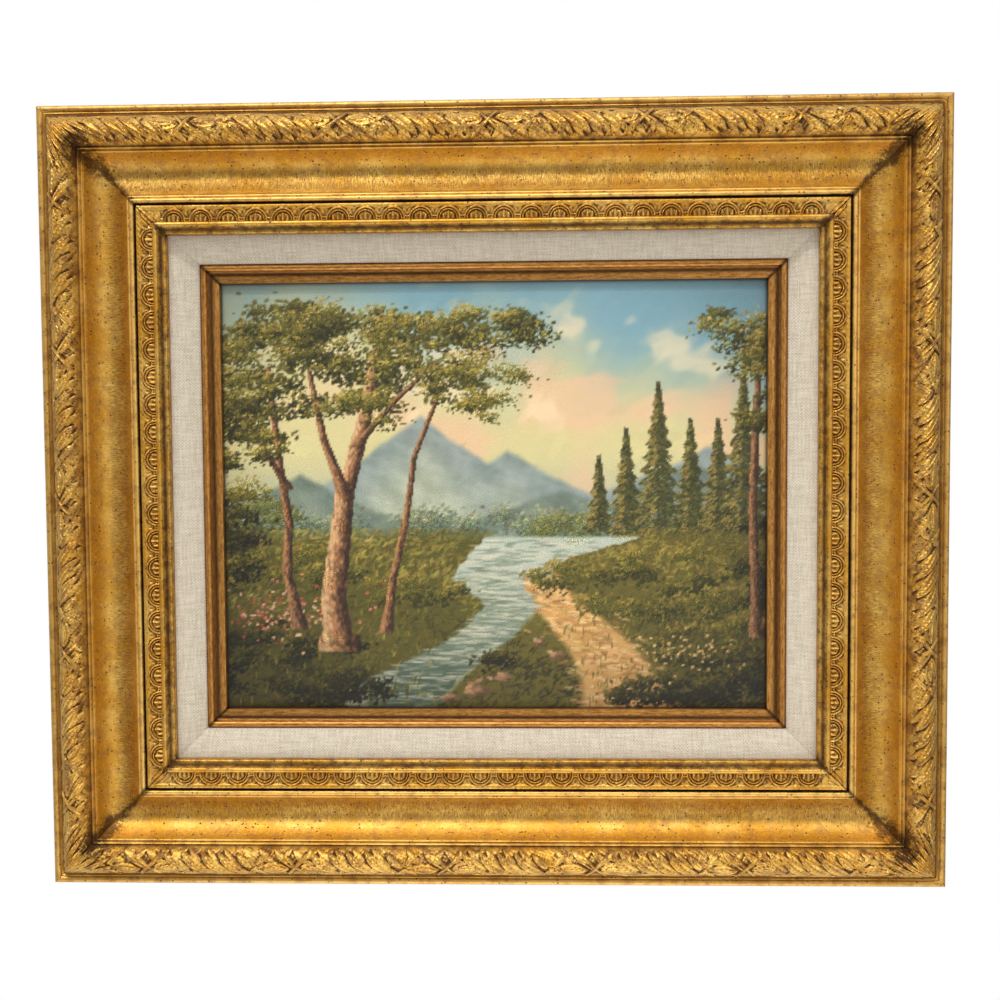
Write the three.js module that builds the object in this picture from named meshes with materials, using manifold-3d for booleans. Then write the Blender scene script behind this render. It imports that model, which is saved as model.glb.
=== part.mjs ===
// A framed oil painting: a carved gilt frame, a linen liner, a gilt slip and a canvas on its stretcher.
// Millimetres. X runs along the top rail, Z is up and the picture faces -Y.
// The origin is where the hanger's back meets the wall.
import * as THREE from "three";
import { mergeVertices } from "three/addons/utils/BufferGeometryUtils.js";
import Module from "manifold-3d";

const wasm = await Module();
wasm.setup();

// A moulding section is drawn in u, inwards from the frame's outer edge, and h, forwards from its back.
const CANVAS_WIDTH = 254;
const CANVAS_HEIGHT = 203.2;
const CANVAS_EDGE_U = 67.3; // from the frame's outer edge to the canvas edge
const FRAME_WIDTH = CANVAS_WIDTH + 2 * CANVAS_EDGE_U;
const FRAME_HEIGHT = CANVAS_HEIGHT + 2 * CANVAS_EDGE_U;
const FIT_GAP = 0.3; // between two pieces that meet
const MITRE_BACKOFF = 0.15 * Math.SQRT2; // each end stops this much short of the mitre
const MITRE_CLEAR = 2; // no station of a carved line is nearer to its mitre

// Outer frame rail
const EDGE_BEAD_U = 1.5;
const EDGE_BEAD_H = 34.5;
const EDGE_BEAD_RADIUS = 1.5;
const SIDE_STEP = 1.2;
const SIDE_STEP_H = 31;
const BACK_INSET = 3.5;
const TORUS_START_U = 4.4;
const TORUS_END_U = 18.4;
const TORUS_START_H = 35;
const TORUS_END_H = 39;
const TORUS_RISE = 6.6;
const FINE_BEAD_RADIUS = 0.75;
const FINE_BEAD_RISE = 0.8;
const COVE_START_U = TORUS_END_U + 4 * FINE_BEAD_RADIUS;
const COVE_END_U = 38.8;
const COVE_START_H = 38.8;
const COVE_END_H = 36.6;
const COVE_DEPTH = 5.6;
const COVE_STEPS = 9;
const REED_U = 39.5;
const REED_RADIUS = 0.6;
const INNER_BEAD_U = 41.2;
const INNER_BEAD_RADIUS = 1.1;
const INNER_BEAD_H = 37.4;
const GROOVE_START_U = 42.4;
const GROOVE_END_U = 43.3;
const GROOVE_H = 35.4;
const BAND_START_H = 38.5;
const ARCH_START_U = 45.3;
const ARCH_END_U = 50.6;
const ARCH_GROUND_H = 38.7;
const RIDGE_U = 51.7;
const RIDGE_H = 39.5;
const RIDGE_RADIUS = 1.1;
const SIGHT_COVE_U = 53.6;
const SIGHT_COVE_H = 36.6;
const SIGHT_EDGE_U = 55.4;
const SIGHT_EDGE_H = 36.2;
const SIGHT_LIP_UNDERSIDE_H = 32.5;
const RAIL_REBATE_U = 49;

// Carved leaf band on the torus: one repeat holds a bud, a ribbon crossing and a spray of leaves
const LEAF_REPEAT = 64.5;
const LEAF_LINES = [1.8, 3.8, 5.8, 8.2, 10.8]; // across the torus, from its outer edge
const LEAF_MIDDLE = 5.8;
const EDGE_STATIONS = 4; // stations in a repeat on the plain lines beside the carving
const BUD_X = 9;
const BUD_HALF_LENGTH = 6.5;
const BUD_HALF_WIDTH = 3.6;
const BUD_RISE = 2.2;
const BUD_COLUMNS = 4;
const CROSS_X = 18.5;
const CROSS_REACH = 3.2;
const CROSS_RISE = 2.3;
const CROSS_COLUMNS = 5;
const SPRAY_START = 26;
const SPRAY_LEAVES = 4;
const SPRAY_STEP = 8.6;
const SPRAY_LEAN = 1.3; // how far a leaf runs along the rail for each step across it
const SPRAY_RISE = 2;
const CORNER_LEAF_WIDTH = 4.5;
const CORNER_CLEAR = 9.5;
const CORNER_LEAF_RISE = 1.6;

// Band of small arches beside the groove
const ARCH_PITCH = 11.7;
const ARCH_CENTRE_U = 50.1;
const ARCH_RIB_RADIUS = 4.4;
const ARCH_INSIDE_RADIUS = 3;
const ARCH_FAN_RADIUS = 1.5;
const ARCH_RIB_RISE = 1.5;
const ARCH_FAN_RISE = 1.2;
const ARCH_FOOT_SHARE = 0.3; // of the rise, where an arch meets the next
const ARCH_ANGLES = [-90, -45, 0, 45, 90];
const FAN_ANGLES = [-60, 0, 60];

// Linen liner
const LINER_FRONT_H = SIGHT_LIP_UNDERSIDE_H - FIT_GAP;
const LINER_INNER_U = 67;
const LINER_FALL = 5.8;
const LINER_CURVE = 1.8;
const LINER_STEPS = 7;
const LINER_NOSE_H = 24;
const LINER_REBATE_U = 63.2;
const LINER_BACK_H = 5;

// Gilt slip between the linen and the canvas
const SLIP_TOP_H = LINER_NOSE_H - FIT_GAP;
const SLIP_BEAD_U = 68.7;
const SLIP_BEAD_RADIUS = 1.4;
const SLIP_BEAD_H = 25.4;
const SLIP_GROOVE_U = 71.3;
const SLIP_GROOVE_H = 24;
const SLIP_LIP_U = 73.6;
const SLIP_LIP_H = 25;
const SLIP_INNER_U = 75;
const SLIP_OUTER_U = LINER_REBATE_U + FIT_GAP;

// Canvas and its stretcher
const CANVAS_FRONT_H = 21;
const CANVAS_THICKNESS = 0.9;
const CANVAS_WRAP = 1;
const BAR_WIDTH = 38;
const BAR_FRONT_H = CANVAS_FRONT_H - CANVAS_THICKNESS - FIT_GAP;
const BAR_BACK_H = LINER_BACK_H + CANVAS_WRAP;
const BAR_LIP_WIDTH = 3;
const BAR_BEVEL = 1.6;

// Fastenings on the back
const HANGER_STANDOFF = 2.4;
const HANGER_DROP = 24;
const HANGER_LENGTH = 46;
const HANGER_HEIGHT = 10;
const HANGER_THICKNESS = 0.9;
const HANGER_TAB = 8;
const HANGER_BEND = 2;
const HANGER_TEETH = 9;
const TOOTH_WIDTH = 2.4;
const TOOTH_DEPTH = 2;
const NAIL_HEAD_RADIUS = 1.9;
const NAIL_HEAD_THICKNESS = 0.65;
const NAIL_SHANK_RADIUS = 0.7;
const NAIL_LENGTH = 11;
const BUTTON_LENGTH = 27;
const BUTTON_WIDTH = 9;
const BUTTON_THICKNESS = 1;
const BUTTON_SCREW_U = 57;
const BUTTON_SCREW_INSET = 4.5;
const SCREW_HEAD_RADIUS = 2.8;
const SCREW_HEAD_THICKNESS = 1.4;
const SCREW_SHANK_RADIUS = 1.2;
const SCREW_LENGTH = 11;
const ROUND_SIDES = 8;

const gilt = new THREE.MeshStandardMaterial({ color: 0xc08a34, roughness: 0.42, metalness: 0.75 });
const linen = new THREE.MeshStandardMaterial({ color: 0xcdc6b4, roughness: 0.95, metalness: 0 });
const bronzeGilt = new THREE.MeshStandardMaterial({ color: 0x9a6a35, roughness: 0.5, metalness: 0.55 });
const paint = new THREE.MeshStandardMaterial({ color: 0x8ea487, roughness: 0.6, metalness: 0 });
const pine = new THREE.MeshStandardMaterial({ color: 0xc9a877, roughness: 0.8, metalness: 0 });
const steel = new THREE.MeshStandardMaterial({ color: 0xb9a15c, roughness: 0.35, metalness: 0.9 });

// The four sides in turn, anticlockwise as seen from the front. Each rail is drawn as the bottom one,
// running along +X with u upwards, and is then turned about Y.
const SIDES = [
  { name: "bottom", turn: 0, length: FRAME_WIDTH, reach: FRAME_HEIGHT / 2, leafShift: -21 },
  { name: "right", turn: -Math.PI / 2, length: FRAME_HEIGHT, reach: FRAME_WIDTH / 2, leafShift: 0 },
  { name: "top", turn: Math.PI, length: FRAME_WIDTH, reach: FRAME_HEIGHT / 2, leafShift: 0 },
  { name: "left", turn: Math.PI / 2, length: FRAME_HEIGHT, reach: FRAME_WIDTH / 2, leafShift: 2 },
];

const clamp01 = (x) => Math.min(1, Math.max(0, x));
const tent = (x) => Math.max(0, 1 - Math.abs(x));

// Points of an arc in a section, from one angle to another in degrees, where 90 is straight forwards.
function arc(u, h, radius, from, to, steps) {
  return Array.from({ length: steps + 1 }, (_, i) => {
    const angle = THREE.MathUtils.degToRad(THREE.MathUtils.lerp(from, to, i / steps));
    return [u + radius * Math.cos(angle), h + radius * Math.sin(angle)];
  });
}

// ---------------------------------------------------------------- mitred rails

// A station is one point of a line that runs along a rail. Its key orders it among the stations beside it.
const station = (key, s, u, h) => ({ key, s, u, h });
const railEnd = (side, u) => side.length / 2 - u - MITRE_BACKOFF;

// A straight line of a rail, with a station at each mitre.
function plainLine(side, u, h) {
  const end = railEnd(side, u);
  return [station(-Infinity, -end, u, h), station(Infinity, end, u, h)];
}

const plainLines = (side, points) => points.map(([u, h]) => plainLine(side, u, h));

// A straight line with further stations at the given places, to meet a carved line beside it.
function spacedLine(side, u, h, places) {
  const [first, last] = plainLine(side, u, h);
  const inside = places.filter((s) => Math.abs(s) < last.s - MITRE_CLEAR);
  return [first, ...inside.map((s) => station(s, s, u, h)), last];
}

// Triangles between two neighbouring lines, taking the next station by its key.
function stitch(a, b, emit) {
  let i = 0;
  let j = 0;
  while (i < a.length - 1 || j < b.length - 1) {
    const alongA = j === b.length - 1 || (i < a.length - 1 && a[i + 1].key <= b[j + 1].key);
    if (alongA) {
      emit(a[i], a[i + 1], b[j]);
      i += 1;
    } else {
      emit(a[i], b[j + 1], b[j]);
      j += 1;
    }
  }
}

// The flat end of a rail, through the given end stations; forwards is true at the +X end.
function cap(stations, forwards, emit) {
  const outline = stations.map((p) => new THREE.Vector2(p.u, p.h));
  for (const [a, b, c] of THREE.ShapeUtils.triangulateShape(outline, [])) {
    const turn = THREE.ShapeUtils.area([outline[a], outline[b], outline[c]]);
    const face = turn > 0 === forwards ? [a, b, c] : [a, c, b];
    emit(...face.map((index) => stations[index]));
  }
}

// A closed rail from its lines, in order across the front, down the inner side, along the back
// and up again.
function mitredRail(side, lines) {
  const coordinates = [];
  const emit = (...corners) => {
    for (const p of corners) coordinates.push(p.s, -p.h, p.u - side.reach);
  };
  lines.forEach((line, i) => stitch(line, lines[(i + 1) % lines.length], emit));
  cap(lines.map((line) => line[0]), false, emit);
  cap(lines.map((line) => line[line.length - 1]), true, emit);
  const geometry = new THREE.BufferGeometry();
  geometry.setAttribute("position", new THREE.Float32BufferAttribute(coordinates, 3));
  return mergeVertices(geometry, 1e-4);
}

// ---------------------------------------------------------------- carving

// Base height of the torus at w across it.
function torusHeight(w) {
  const v = w / (TORUS_END_U - TORUS_START_U);
  return THREE.MathUtils.lerp(TORUS_START_H, TORUS_END_H, v) + TORUS_RISE * Math.sin(Math.PI * v) ** 0.8;
}

// A pointed bud with its middle raised.
function budRelief(x, w) {
  const halfWidth = BUD_HALF_WIDTH * (1 - ((x - BUD_X) / BUD_HALF_LENGTH) ** 2);
  return halfWidth <= 0 ? 0 : BUD_RISE * tent((w - LEAF_MIDDLE) / halfWidth);
}

// Two ribbons that cross over each other.
function crossRelief(x, w) {
  const dx = (x - CROSS_X) / CROSS_REACH;
  const dw = (w - LEAF_MIDDLE) / (2 * LEAF_MIDDLE - 2 * LEAF_LINES[0]);
  return CROSS_RISE * tent(3 * (Math.abs(dx) - 2 * Math.abs(dw))) * tent(dx / 3);
}

// Leaves side by side, each with a raised midrib, from a stem by the outer edge to tips at the inner one.
function sprayRelief(x, w) {
  const along = (x + SPRAY_LEAN * (w - LEAF_MIDDLE) - SPRAY_START) / SPRAY_STEP;
  if (along < 0 || along > SPRAY_LEAVES) return 0;
  const rib = tent(2 * (along - Math.floor(along)) - 1);
  return SPRAY_RISE * (0.15 + 0.85 * rib) * clamp01(w / 2.5) * clamp01((12 - w) / 3);
}

// How far the columns of the carving lean at x in the repeat.
const leanAt = (x) => SPRAY_LEAN * clamp01((x - CROSS_X - 1) / 7) * clamp01((LEAF_REPEAT + 1 - x) / 4);

// Places along the repeat where the carving has a crest or a valley.
function carvingColumns() {
  const buds = Array.from({ length: BUD_COLUMNS }, (_, i) => BUD_X + BUD_HALF_LENGTH * (i / 2 - 1));
  const crossings = Array.from(
    { length: CROSS_COLUMNS },
    (_, i) => CROSS_X + CROSS_REACH * ((2 * i) / (CROSS_COLUMNS - 1) - 1),
  );
  const leaves = Array.from({ length: 2 * SPRAY_LEAVES + 1 }, (_, i) => SPRAY_START + (i * SPRAY_STEP) / 2);
  return [...buds, ...crossings, ...leaves].filter((x) => x < LEAF_REPEAT);
}

const CARVING_COLUMNS = carvingColumns();

// One line of the carved band, with leaves along both mitres and whole repeats between them.
function carvedLine(side, w) {
  const u = TORUS_START_U + w;
  const end = railEnd(side, u);
  const base = torusHeight(w);
  const crest = base + CORNER_LEAF_RISE * clamp01(w / 2.5) * clamp01((12.5 - w) / 3);
  const inner = [];
  const repeats = Math.ceil(side.length / LEAF_REPEAT / 2) + 1;
  for (let repeat = -repeats; repeat <= repeats; repeat += 1) {
    for (const x of CARVING_COLUMNS) {
      const column = side.leafShift - CROSS_X + repeat * LEAF_REPEAT + x;
      const offset = leanAt(x) * (w - LEAF_MIDDLE);
      const relief = Math.max(budRelief(x, w), crossRelief(x, w), sprayRelief(x - offset, w));
      if (Math.abs(column - offset) < end - CORNER_CLEAR - MITRE_CLEAR)
        inner.push(station(column, column - offset, u, base + relief));
    }
  }
  return [
    station(-Infinity, -end, u, crest),
    station(-3 * side.length, CORNER_LEAF_WIDTH - end, u, base),
    station(-2 * side.length, CORNER_CLEAR - end, u, base + CORNER_LEAF_RISE / 2),
    ...inner,
    station(2 * side.length, end - CORNER_CLEAR, u, base + CORNER_LEAF_RISE / 2),
    station(3 * side.length, end - CORNER_LEAF_WIDTH, u, base),
    station(Infinity, end, u, crest),
  ];
}

// A plain line beside the carving, with a few stations in each repeat.
function carvingEdge(side, u, h) {
  const step = LEAF_REPEAT / EDGE_STATIONS;
  const reach = Math.ceil(side.length / step / 2);
  return spacedLine(side, u, h, Array.from({ length: 2 * reach + 1 }, (_, i) => (i - reach) * step));
}

const archCount = (side) => Math.floor((2 * railEnd(side, ARCH_CENTRE_U)) / ARCH_PITCH);

// A plain line beside the arches, with a station between each arch and the next.
function archEdge(side, u, h) {
  const count = archCount(side);
  return spacedLine(side, u, h, Array.from({ length: count + 1 }, (_, i) => (i - count / 2) * ARCH_PITCH));
}

// One line through the row of arches: a ring of every arch at the given radius, joined foot to foot.
function archLine(side, radius, rise, angles) {
  const count = archCount(side);
  const stations = [];
  for (let i = 0; i < count; i += 1) {
    const centre = (i - (count - 1) / 2) * ARCH_PITCH;
    for (const degrees of angles) {
      const angle = THREE.MathUtils.degToRad(degrees);
      const u = ARCH_CENTRE_U - radius * Math.cos(angle);
      const h = ARCH_GROUND_H + rise * THREE.MathUtils.lerp(ARCH_FOOT_SHARE, 1, Math.cos(angle));
      const key = centre + (ARCH_PITCH / 2.2) * Math.sin(angle);
      stations.push(station(key, centre + radius * Math.sin(angle), u, h));
    }
  }
  const [first, last] = plainLine(side, ARCH_CENTRE_U, ARCH_GROUND_H);
  return [first, ...stations, last];
}

// ---------------------------------------------------------------- outer frame

function railFront(side) {
  const bead = arc(EDGE_BEAD_U, EDGE_BEAD_H, EDGE_BEAD_RADIUS, 180, 20, 4);
  const fineBeads = [1, 2, 3].map((i) => [
    TORUS_END_U + i * FINE_BEAD_RADIUS,
    TORUS_END_H + (i % 2) * FINE_BEAD_RISE - 0.1 * i,
  ]);
  const cove = Array.from({ length: COVE_STEPS + 1 }, (_, i) => {
    const t = i / COVE_STEPS;
    const chord = THREE.MathUtils.lerp(COVE_START_H, COVE_END_H, t);
    const u = THREE.MathUtils.lerp(COVE_START_U, COVE_END_U, t);
    return [u, chord - COVE_DEPTH * Math.sin(Math.PI * t ** 0.9)];
  });
  const reed = arc(REED_U, COVE_END_H, REED_RADIUS, 120, 20, 2);
  const innerBead = arc(INNER_BEAD_U, INNER_BEAD_H, INNER_BEAD_RADIUS, 170, 10, 4);
  return [
    ...plainLines(side, bead),
    plainLine(side, TORUS_START_U - 0.6, TORUS_START_H - 0.5),
    carvingEdge(side, TORUS_START_U, TORUS_START_H),
    ...LEAF_LINES.map((w) => carvedLine(side, w)),
    carvingEdge(side, TORUS_END_U, TORUS_END_H),
    ...plainLines(side, fineBeads),
    ...plainLines(side, cove),
    ...plainLines(side, reed),
    ...plainLines(side, innerBead),
  ];
}

function railInner(side) {
  const ridge = arc(RIDGE_U, RIDGE_H, RIDGE_RADIUS, 130, 20, 2);
  return [
    ...plainLines(side, [
      [GROOVE_START_U, GROOVE_H],
      [GROOVE_END_U - 0.1, GROOVE_H + 0.05],
      [GROOVE_END_U, BAND_START_H],
      [ARCH_START_U - 0.4, BAND_START_H + 0.7],
    ]),
    archEdge(side, ARCH_START_U, ARCH_GROUND_H),
    archLine(side, ARCH_RIB_RADIUS, ARCH_RIB_RISE, ARCH_ANGLES),
    archLine(side, ARCH_INSIDE_RADIUS, 0, ARCH_ANGLES),
    archLine(side, ARCH_FAN_RADIUS, ARCH_FAN_RISE, FAN_ANGLES),
    archEdge(side, ARCH_END_U, ARCH_GROUND_H + 0.4),
    ...plainLines(side, ridge),
    ...plainLines(side, [
      [SIGHT_COVE_U - 0.6, SIGHT_COVE_H + 0.7],
      [SIGHT_COVE_U, SIGHT_COVE_H],
      [SIGHT_EDGE_U - 0.8, SIGHT_EDGE_H + 0.5],
      [SIGHT_EDGE_U, SIGHT_EDGE_H],
      [SIGHT_EDGE_U, SIGHT_LIP_UNDERSIDE_H],
      [RAIL_REBATE_U, SIGHT_LIP_UNDERSIDE_H],
      [RAIL_REBATE_U, 0],
      [BACK_INSET, 0],
      [SIDE_STEP, SIDE_STEP_H],
      [0, SIDE_STEP_H + SIDE_STEP],
    ]),
  ];
}

const frameRail = (side) => mitredRail(side, [...railFront(side), ...railInner(side)]);

// ---------------------------------------------------------------- liner, slip and stretcher

function linerRail(side) {
  const cushion = Array.from({ length: LINER_STEPS + 1 }, (_, i) => {
    const t = i / LINER_STEPS;
    const u = THREE.MathUtils.lerp(SIGHT_EDGE_U, LINER_INNER_U, t);
    return [u, LINER_FRONT_H - LINER_FALL * t ** LINER_CURVE];
  });
  const outer = RAIL_REBATE_U + FIT_GAP;
  return mitredRail(side, plainLines(side, [
    [outer, LINER_FRONT_H],
    ...cushion,
    [LINER_INNER_U, LINER_NOSE_H],
    [LINER_REBATE_U, LINER_NOSE_H],
    [LINER_REBATE_U, LINER_BACK_H],
    [outer, LINER_BACK_H],
  ]));
}

function slipRail(side) {
  const underside = CANVAS_FRONT_H + FIT_GAP;
  const rebate = CANVAS_EDGE_U - FIT_GAP;
  return mitredRail(side, plainLines(side, [
    [SLIP_OUTER_U, SLIP_TOP_H],
    [LINER_INNER_U + FIT_GAP, SLIP_TOP_H],
    ...arc(SLIP_BEAD_U, SLIP_BEAD_H, SLIP_BEAD_RADIUS, 180, 0, 6),
    [SLIP_GROOVE_U, SLIP_GROOVE_H],
    [SLIP_LIP_U - 1, SLIP_LIP_H - 0.2],
    [SLIP_LIP_U, SLIP_LIP_H],
    [SLIP_INNER_U - 0.3, SLIP_LIP_H - 0.4],
    [SLIP_INNER_U, SLIP_LIP_H - 0.9],
    [SLIP_INNER_U, underside],
    [rebate, underside],
    [rebate, LINER_BACK_H],
    [SLIP_OUTER_U, LINER_BACK_H],
  ]));
}

function stretcherBar(side) {
  const outer = CANVAS_EDGE_U + CANVAS_WRAP;
  const inner = outer + BAR_WIDTH;
  return mitredRail(side, plainLines(side, [
    [outer, BAR_FRONT_H],
    [outer + BAR_LIP_WIDTH, BAR_FRONT_H],
    [outer + BAR_LIP_WIDTH + BAR_BEVEL, BAR_FRONT_H - BAR_BEVEL],
    [inner - BAR_BEVEL, BAR_FRONT_H - 1.4 * BAR_BEVEL],
    [inner, BAR_FRONT_H - 2.4 * BAR_BEVEL],
    [inner, BAR_BACK_H + BAR_BEVEL],
    [inner - BAR_BEVEL, BAR_BACK_H],
    [outer, BAR_BACK_H],
  ]));
}

function paintedCanvas() {
  const geometry = new THREE.BoxGeometry(CANVAS_WIDTH, CANVAS_THICKNESS, CANVAS_HEIGHT);
  return geometry.translate(0, CANVAS_THICKNESS / 2 - CANVAS_FRONT_H, 0);
}

// ---------------------------------------------------------------- fastenings

function solidOf(geometry) {
  const bare = geometry.index ? geometry.toNonIndexed() : geometry.clone();
  bare.deleteAttribute("normal");
  bare.deleteAttribute("uv");
  const merged = mergeVertices(bare, 1e-4);
  const mesh = { numProp: 3, vertProperties: merged.attributes.position.array };
  return new wasm.Manifold(new wasm.Mesh({ ...mesh, triVerts: new Uint32Array(merged.index.array) }));
}

function geometryOf(solid) {
  const mesh = solid.getMesh();
  const geometry = new THREE.BufferGeometry();
  geometry.setAttribute("position", new THREE.BufferAttribute(mesh.vertProperties, 3));
  return geometry.setIndex(new THREE.BufferAttribute(mesh.triVerts, 1));
}

const cut = (body, tools) =>
  geometryOf(tools.reduce((left, tool) => left.subtract(solidOf(tool)), solidOf(body)));

// A headed pin along Y: the head's back is at y, and the shank runs forwards from under it.
function headedPin(headRadius, headThickness, shankRadius, length) {
  const profile = [
    [0, 0],
    [headRadius * 0.7, 0],
    [headRadius, headThickness],
    [shankRadius, headThickness],
    [shankRadius, length * 0.85],
    [0, length],
  ].map(([radius, depth]) => new THREE.Vector2(radius, -depth));
  return new THREE.LatheGeometry(profile.reverse(), ROUND_SIDES);
}

// A round hole along Y from y, as deep as asked.
function bore(x, y, z, radius, depth) {
  return new THREE.CylinderGeometry(radius, radius, depth, ROUND_SIDES).translate(x, y - depth / 2, z);
}

const nailOffset = (HANGER_LENGTH - HANGER_TAB) / 2;

// A steel strip with its middle stepped off the wood and a row of teeth along its lower edge.
function sawtoothHanger() {
  const half = HANGER_LENGTH / 2;
  const low = FIT_GAP - HANGER_STANDOFF;
  const high = -HANGER_THICKNESS;
  const front = [
    [-half, low],
    [HANGER_TAB - half, low],
    [HANGER_TAB + HANGER_BEND - half, high],
    [half - HANGER_TAB - HANGER_BEND, high],
    [half - HANGER_TAB, low],
    [half, low],
  ];
  const back = front.map(([x, y]) => [x, y + HANGER_THICKNESS]).reverse();
  const outline = new THREE.Shape([...front, ...back].map(([x, y]) => new THREE.Vector2(x, y)));
  const strip = new THREE.ExtrudeGeometry(outline, { depth: HANGER_HEIGHT, bevelEnabled: false });
  strip.translate(0, 0, -HANGER_HEIGHT / 2);
  const notches = Array.from({ length: HANGER_TEETH }, (_, i) => {
    const notch = new THREE.CylinderGeometry(TOOTH_WIDTH / 2, TOOTH_WIDTH / 2, 4 * HANGER_THICKNESS, 4);
    notch.scale(1, 1, (2 * TOOTH_DEPTH) / TOOTH_WIDTH);
    return notch.translate((i - (HANGER_TEETH - 1) / 2) * (TOOTH_WIDTH + 0.2), 0, -HANGER_HEIGHT / 2);
  });
  const holes = [-1, 1].map((way) =>
    bore(way * nailOffset, HANGER_THICKNESS, 0, NAIL_SHANK_RADIUS + FIT_GAP, 4 * HANGER_THICKNESS));
  return cut(strip, [...notches, ...holes]);
}

function turnButton() {
  const half = BUTTON_WIDTH / 2;
  const reach = BUTTON_LENGTH - BUTTON_SCREW_INSET - half;
  const outline = new THREE.Shape();
  outline.absarc(0, 0, half, Math.PI, 2 * Math.PI, false);
  outline.absarc(0, reach, half, 0, Math.PI, false);
  outline.closePath();
  const plate = new THREE.ExtrudeGeometry(outline, {
    depth: BUTTON_THICKNESS,
    bevelEnabled: false,
    curveSegments: ROUND_SIDES / 2,
  });
  plate.rotateX(Math.PI / 2);
  const hole = bore(0, BUTTON_THICKNESS, 0, SCREW_SHANK_RADIUS + FIT_GAP, 4 * BUTTON_THICKNESS);
  return cut(plate, [hole]);
}

// ---------------------------------------------------------------- the whole picture

const picture = new THREE.Group();
const frameGroup = new THREE.Group();
frameGroup.position.set(0, -HANGER_STANDOFF, HANGER_DROP - FRAME_HEIGHT / 2);
picture.add(frameGroup);

function addPiece(parent, name, geometry, material) {
  const mesh = new THREE.Mesh(geometry, material);
  mesh.name = name;
  parent.add(mesh);
  return mesh;
}

const nailHoles = [-1, 1].map((way) =>
  bore(way * nailOffset, FIT_GAP, HANGER_DROP - FRAME_HEIGHT / 2, NAIL_SHANK_RADIUS + FIT_GAP, NAIL_LENGTH));

for (const side of SIDES) {
  const sideGroup = new THREE.Group();
  sideGroup.rotation.y = side.turn;
  frameGroup.add(sideGroup);
  const carved = frameRail(side);
  const rail = side.name === "top" ? cut(carved, nailHoles) : carved;
  const screwZ = BUTTON_SCREW_U - side.reach;
  const screwHole = bore(0, FIT_GAP - LINER_BACK_H, screwZ, SCREW_SHANK_RADIUS + FIT_GAP, SCREW_LENGTH);
  addPiece(sideGroup, `frame_rail_${side.name}`, rail, gilt);
  addPiece(sideGroup, `linen_liner_${side.name}`, cut(linerRail(side), [screwHole]), linen);
  addPiece(sideGroup, `gilt_slip_${side.name}`, slipRail(side), bronzeGilt);
  addPiece(sideGroup, `stretcher_bar_${side.name}`, stretcherBar(side), pine);
  const button = addPiece(sideGroup, `turn_button_${side.name}`, turnButton(), steel);
  button.position.set(0, BUTTON_THICKNESS + FIT_GAP - LINER_BACK_H, screwZ);
  const screwShape = headedPin(SCREW_HEAD_RADIUS, SCREW_HEAD_THICKNESS, SCREW_SHANK_RADIUS, SCREW_LENGTH);
  const screw = addPiece(sideGroup, `turn_button_screw_${side.name}`, screwShape, steel);
  screw.position.set(0, button.position.y + FIT_GAP + SCREW_HEAD_THICKNESS, screwZ);
}

addPiece(frameGroup, "painted_canvas", paintedCanvas(), paint);
addPiece(picture, "sawtooth_hanger", sawtoothHanger(), steel);
for (const [name, way] of [["left", -1], ["right", 1]]) {
  const shape = headedPin(NAIL_HEAD_RADIUS, NAIL_HEAD_THICKNESS, NAIL_SHANK_RADIUS, NAIL_LENGTH);
  const nail = addPiece(picture, `hanger_nail_${name}`, shape, steel);
  const tabBack = 2 * FIT_GAP + HANGER_THICKNESS - HANGER_STANDOFF;
  nail.position.set(way * nailOffset, tabBack + NAIL_HEAD_THICKNESS, 0);
}

export default picture;
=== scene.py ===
"""Dresses a small framed oil painting: a carved gilt frame, a linen liner, a gilt slip and a canvas.

Sizes in the classes are millimetres. A moulding section is drawn in u, inwards from the frame's outer
edge, and h, forwards from its back, and s runs along a rail, anticlockwise round the frame.
"""

import logging
import math
from dataclasses import dataclass, field
from enum import Enum
from typing import Callable, Optional, Sequence, Union

import bpy
import numpy as np
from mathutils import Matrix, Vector
from numpy.typing import NDArray


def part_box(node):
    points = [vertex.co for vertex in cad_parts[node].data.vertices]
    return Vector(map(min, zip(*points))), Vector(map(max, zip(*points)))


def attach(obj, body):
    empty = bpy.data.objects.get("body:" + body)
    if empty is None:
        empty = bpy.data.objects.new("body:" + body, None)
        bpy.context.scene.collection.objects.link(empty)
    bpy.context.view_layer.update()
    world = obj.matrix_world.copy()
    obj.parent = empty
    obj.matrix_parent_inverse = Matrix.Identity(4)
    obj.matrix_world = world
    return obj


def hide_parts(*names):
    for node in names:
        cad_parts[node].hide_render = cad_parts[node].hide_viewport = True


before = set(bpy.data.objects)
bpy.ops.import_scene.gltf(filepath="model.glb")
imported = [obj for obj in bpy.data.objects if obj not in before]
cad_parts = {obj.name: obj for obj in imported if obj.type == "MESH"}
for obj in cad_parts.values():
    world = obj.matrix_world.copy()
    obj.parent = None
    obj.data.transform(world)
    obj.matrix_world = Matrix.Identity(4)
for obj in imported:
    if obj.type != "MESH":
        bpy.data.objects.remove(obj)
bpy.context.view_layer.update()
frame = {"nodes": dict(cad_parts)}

Array = NDArray[np.float64]
Indices = NDArray[np.int64]
Colour = tuple[float, float, float]
Pair = tuple[float, float]
MM = 0.001
log = logging.getLogger("framed_painting")


def smoothstep(x: Array, low: float, high: float) -> Array:
    """Rises smoothly from 0 at low to 1 at high."""
    t = np.clip((x - low) / (high - low), 0.0, 1.0)
    return t * t * (3.0 - 2.0 * t)


def within(x: Array, rise: Pair, fall: Pair) -> Array:
    """Rises smoothly from 0 to 1 over one stretch of x, and falls back over another."""
    return smoothstep(x, *rise) * smoothstep(x, *fall)


def ridge(x: Array, half_width: float) -> Array:
    """A rounded ridge across x, 1 at its crest and 0 from half_width outwards."""
    return np.clip(1.0 - (x / half_width) ** 2, 0.0, 1.0) ** 0.7


def mixed(a: Array, b: Array, share: float | Array) -> Array:
    """A mix of two values, all the second where share is 1."""
    return a * (1.0 - share) + b * share


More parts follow.
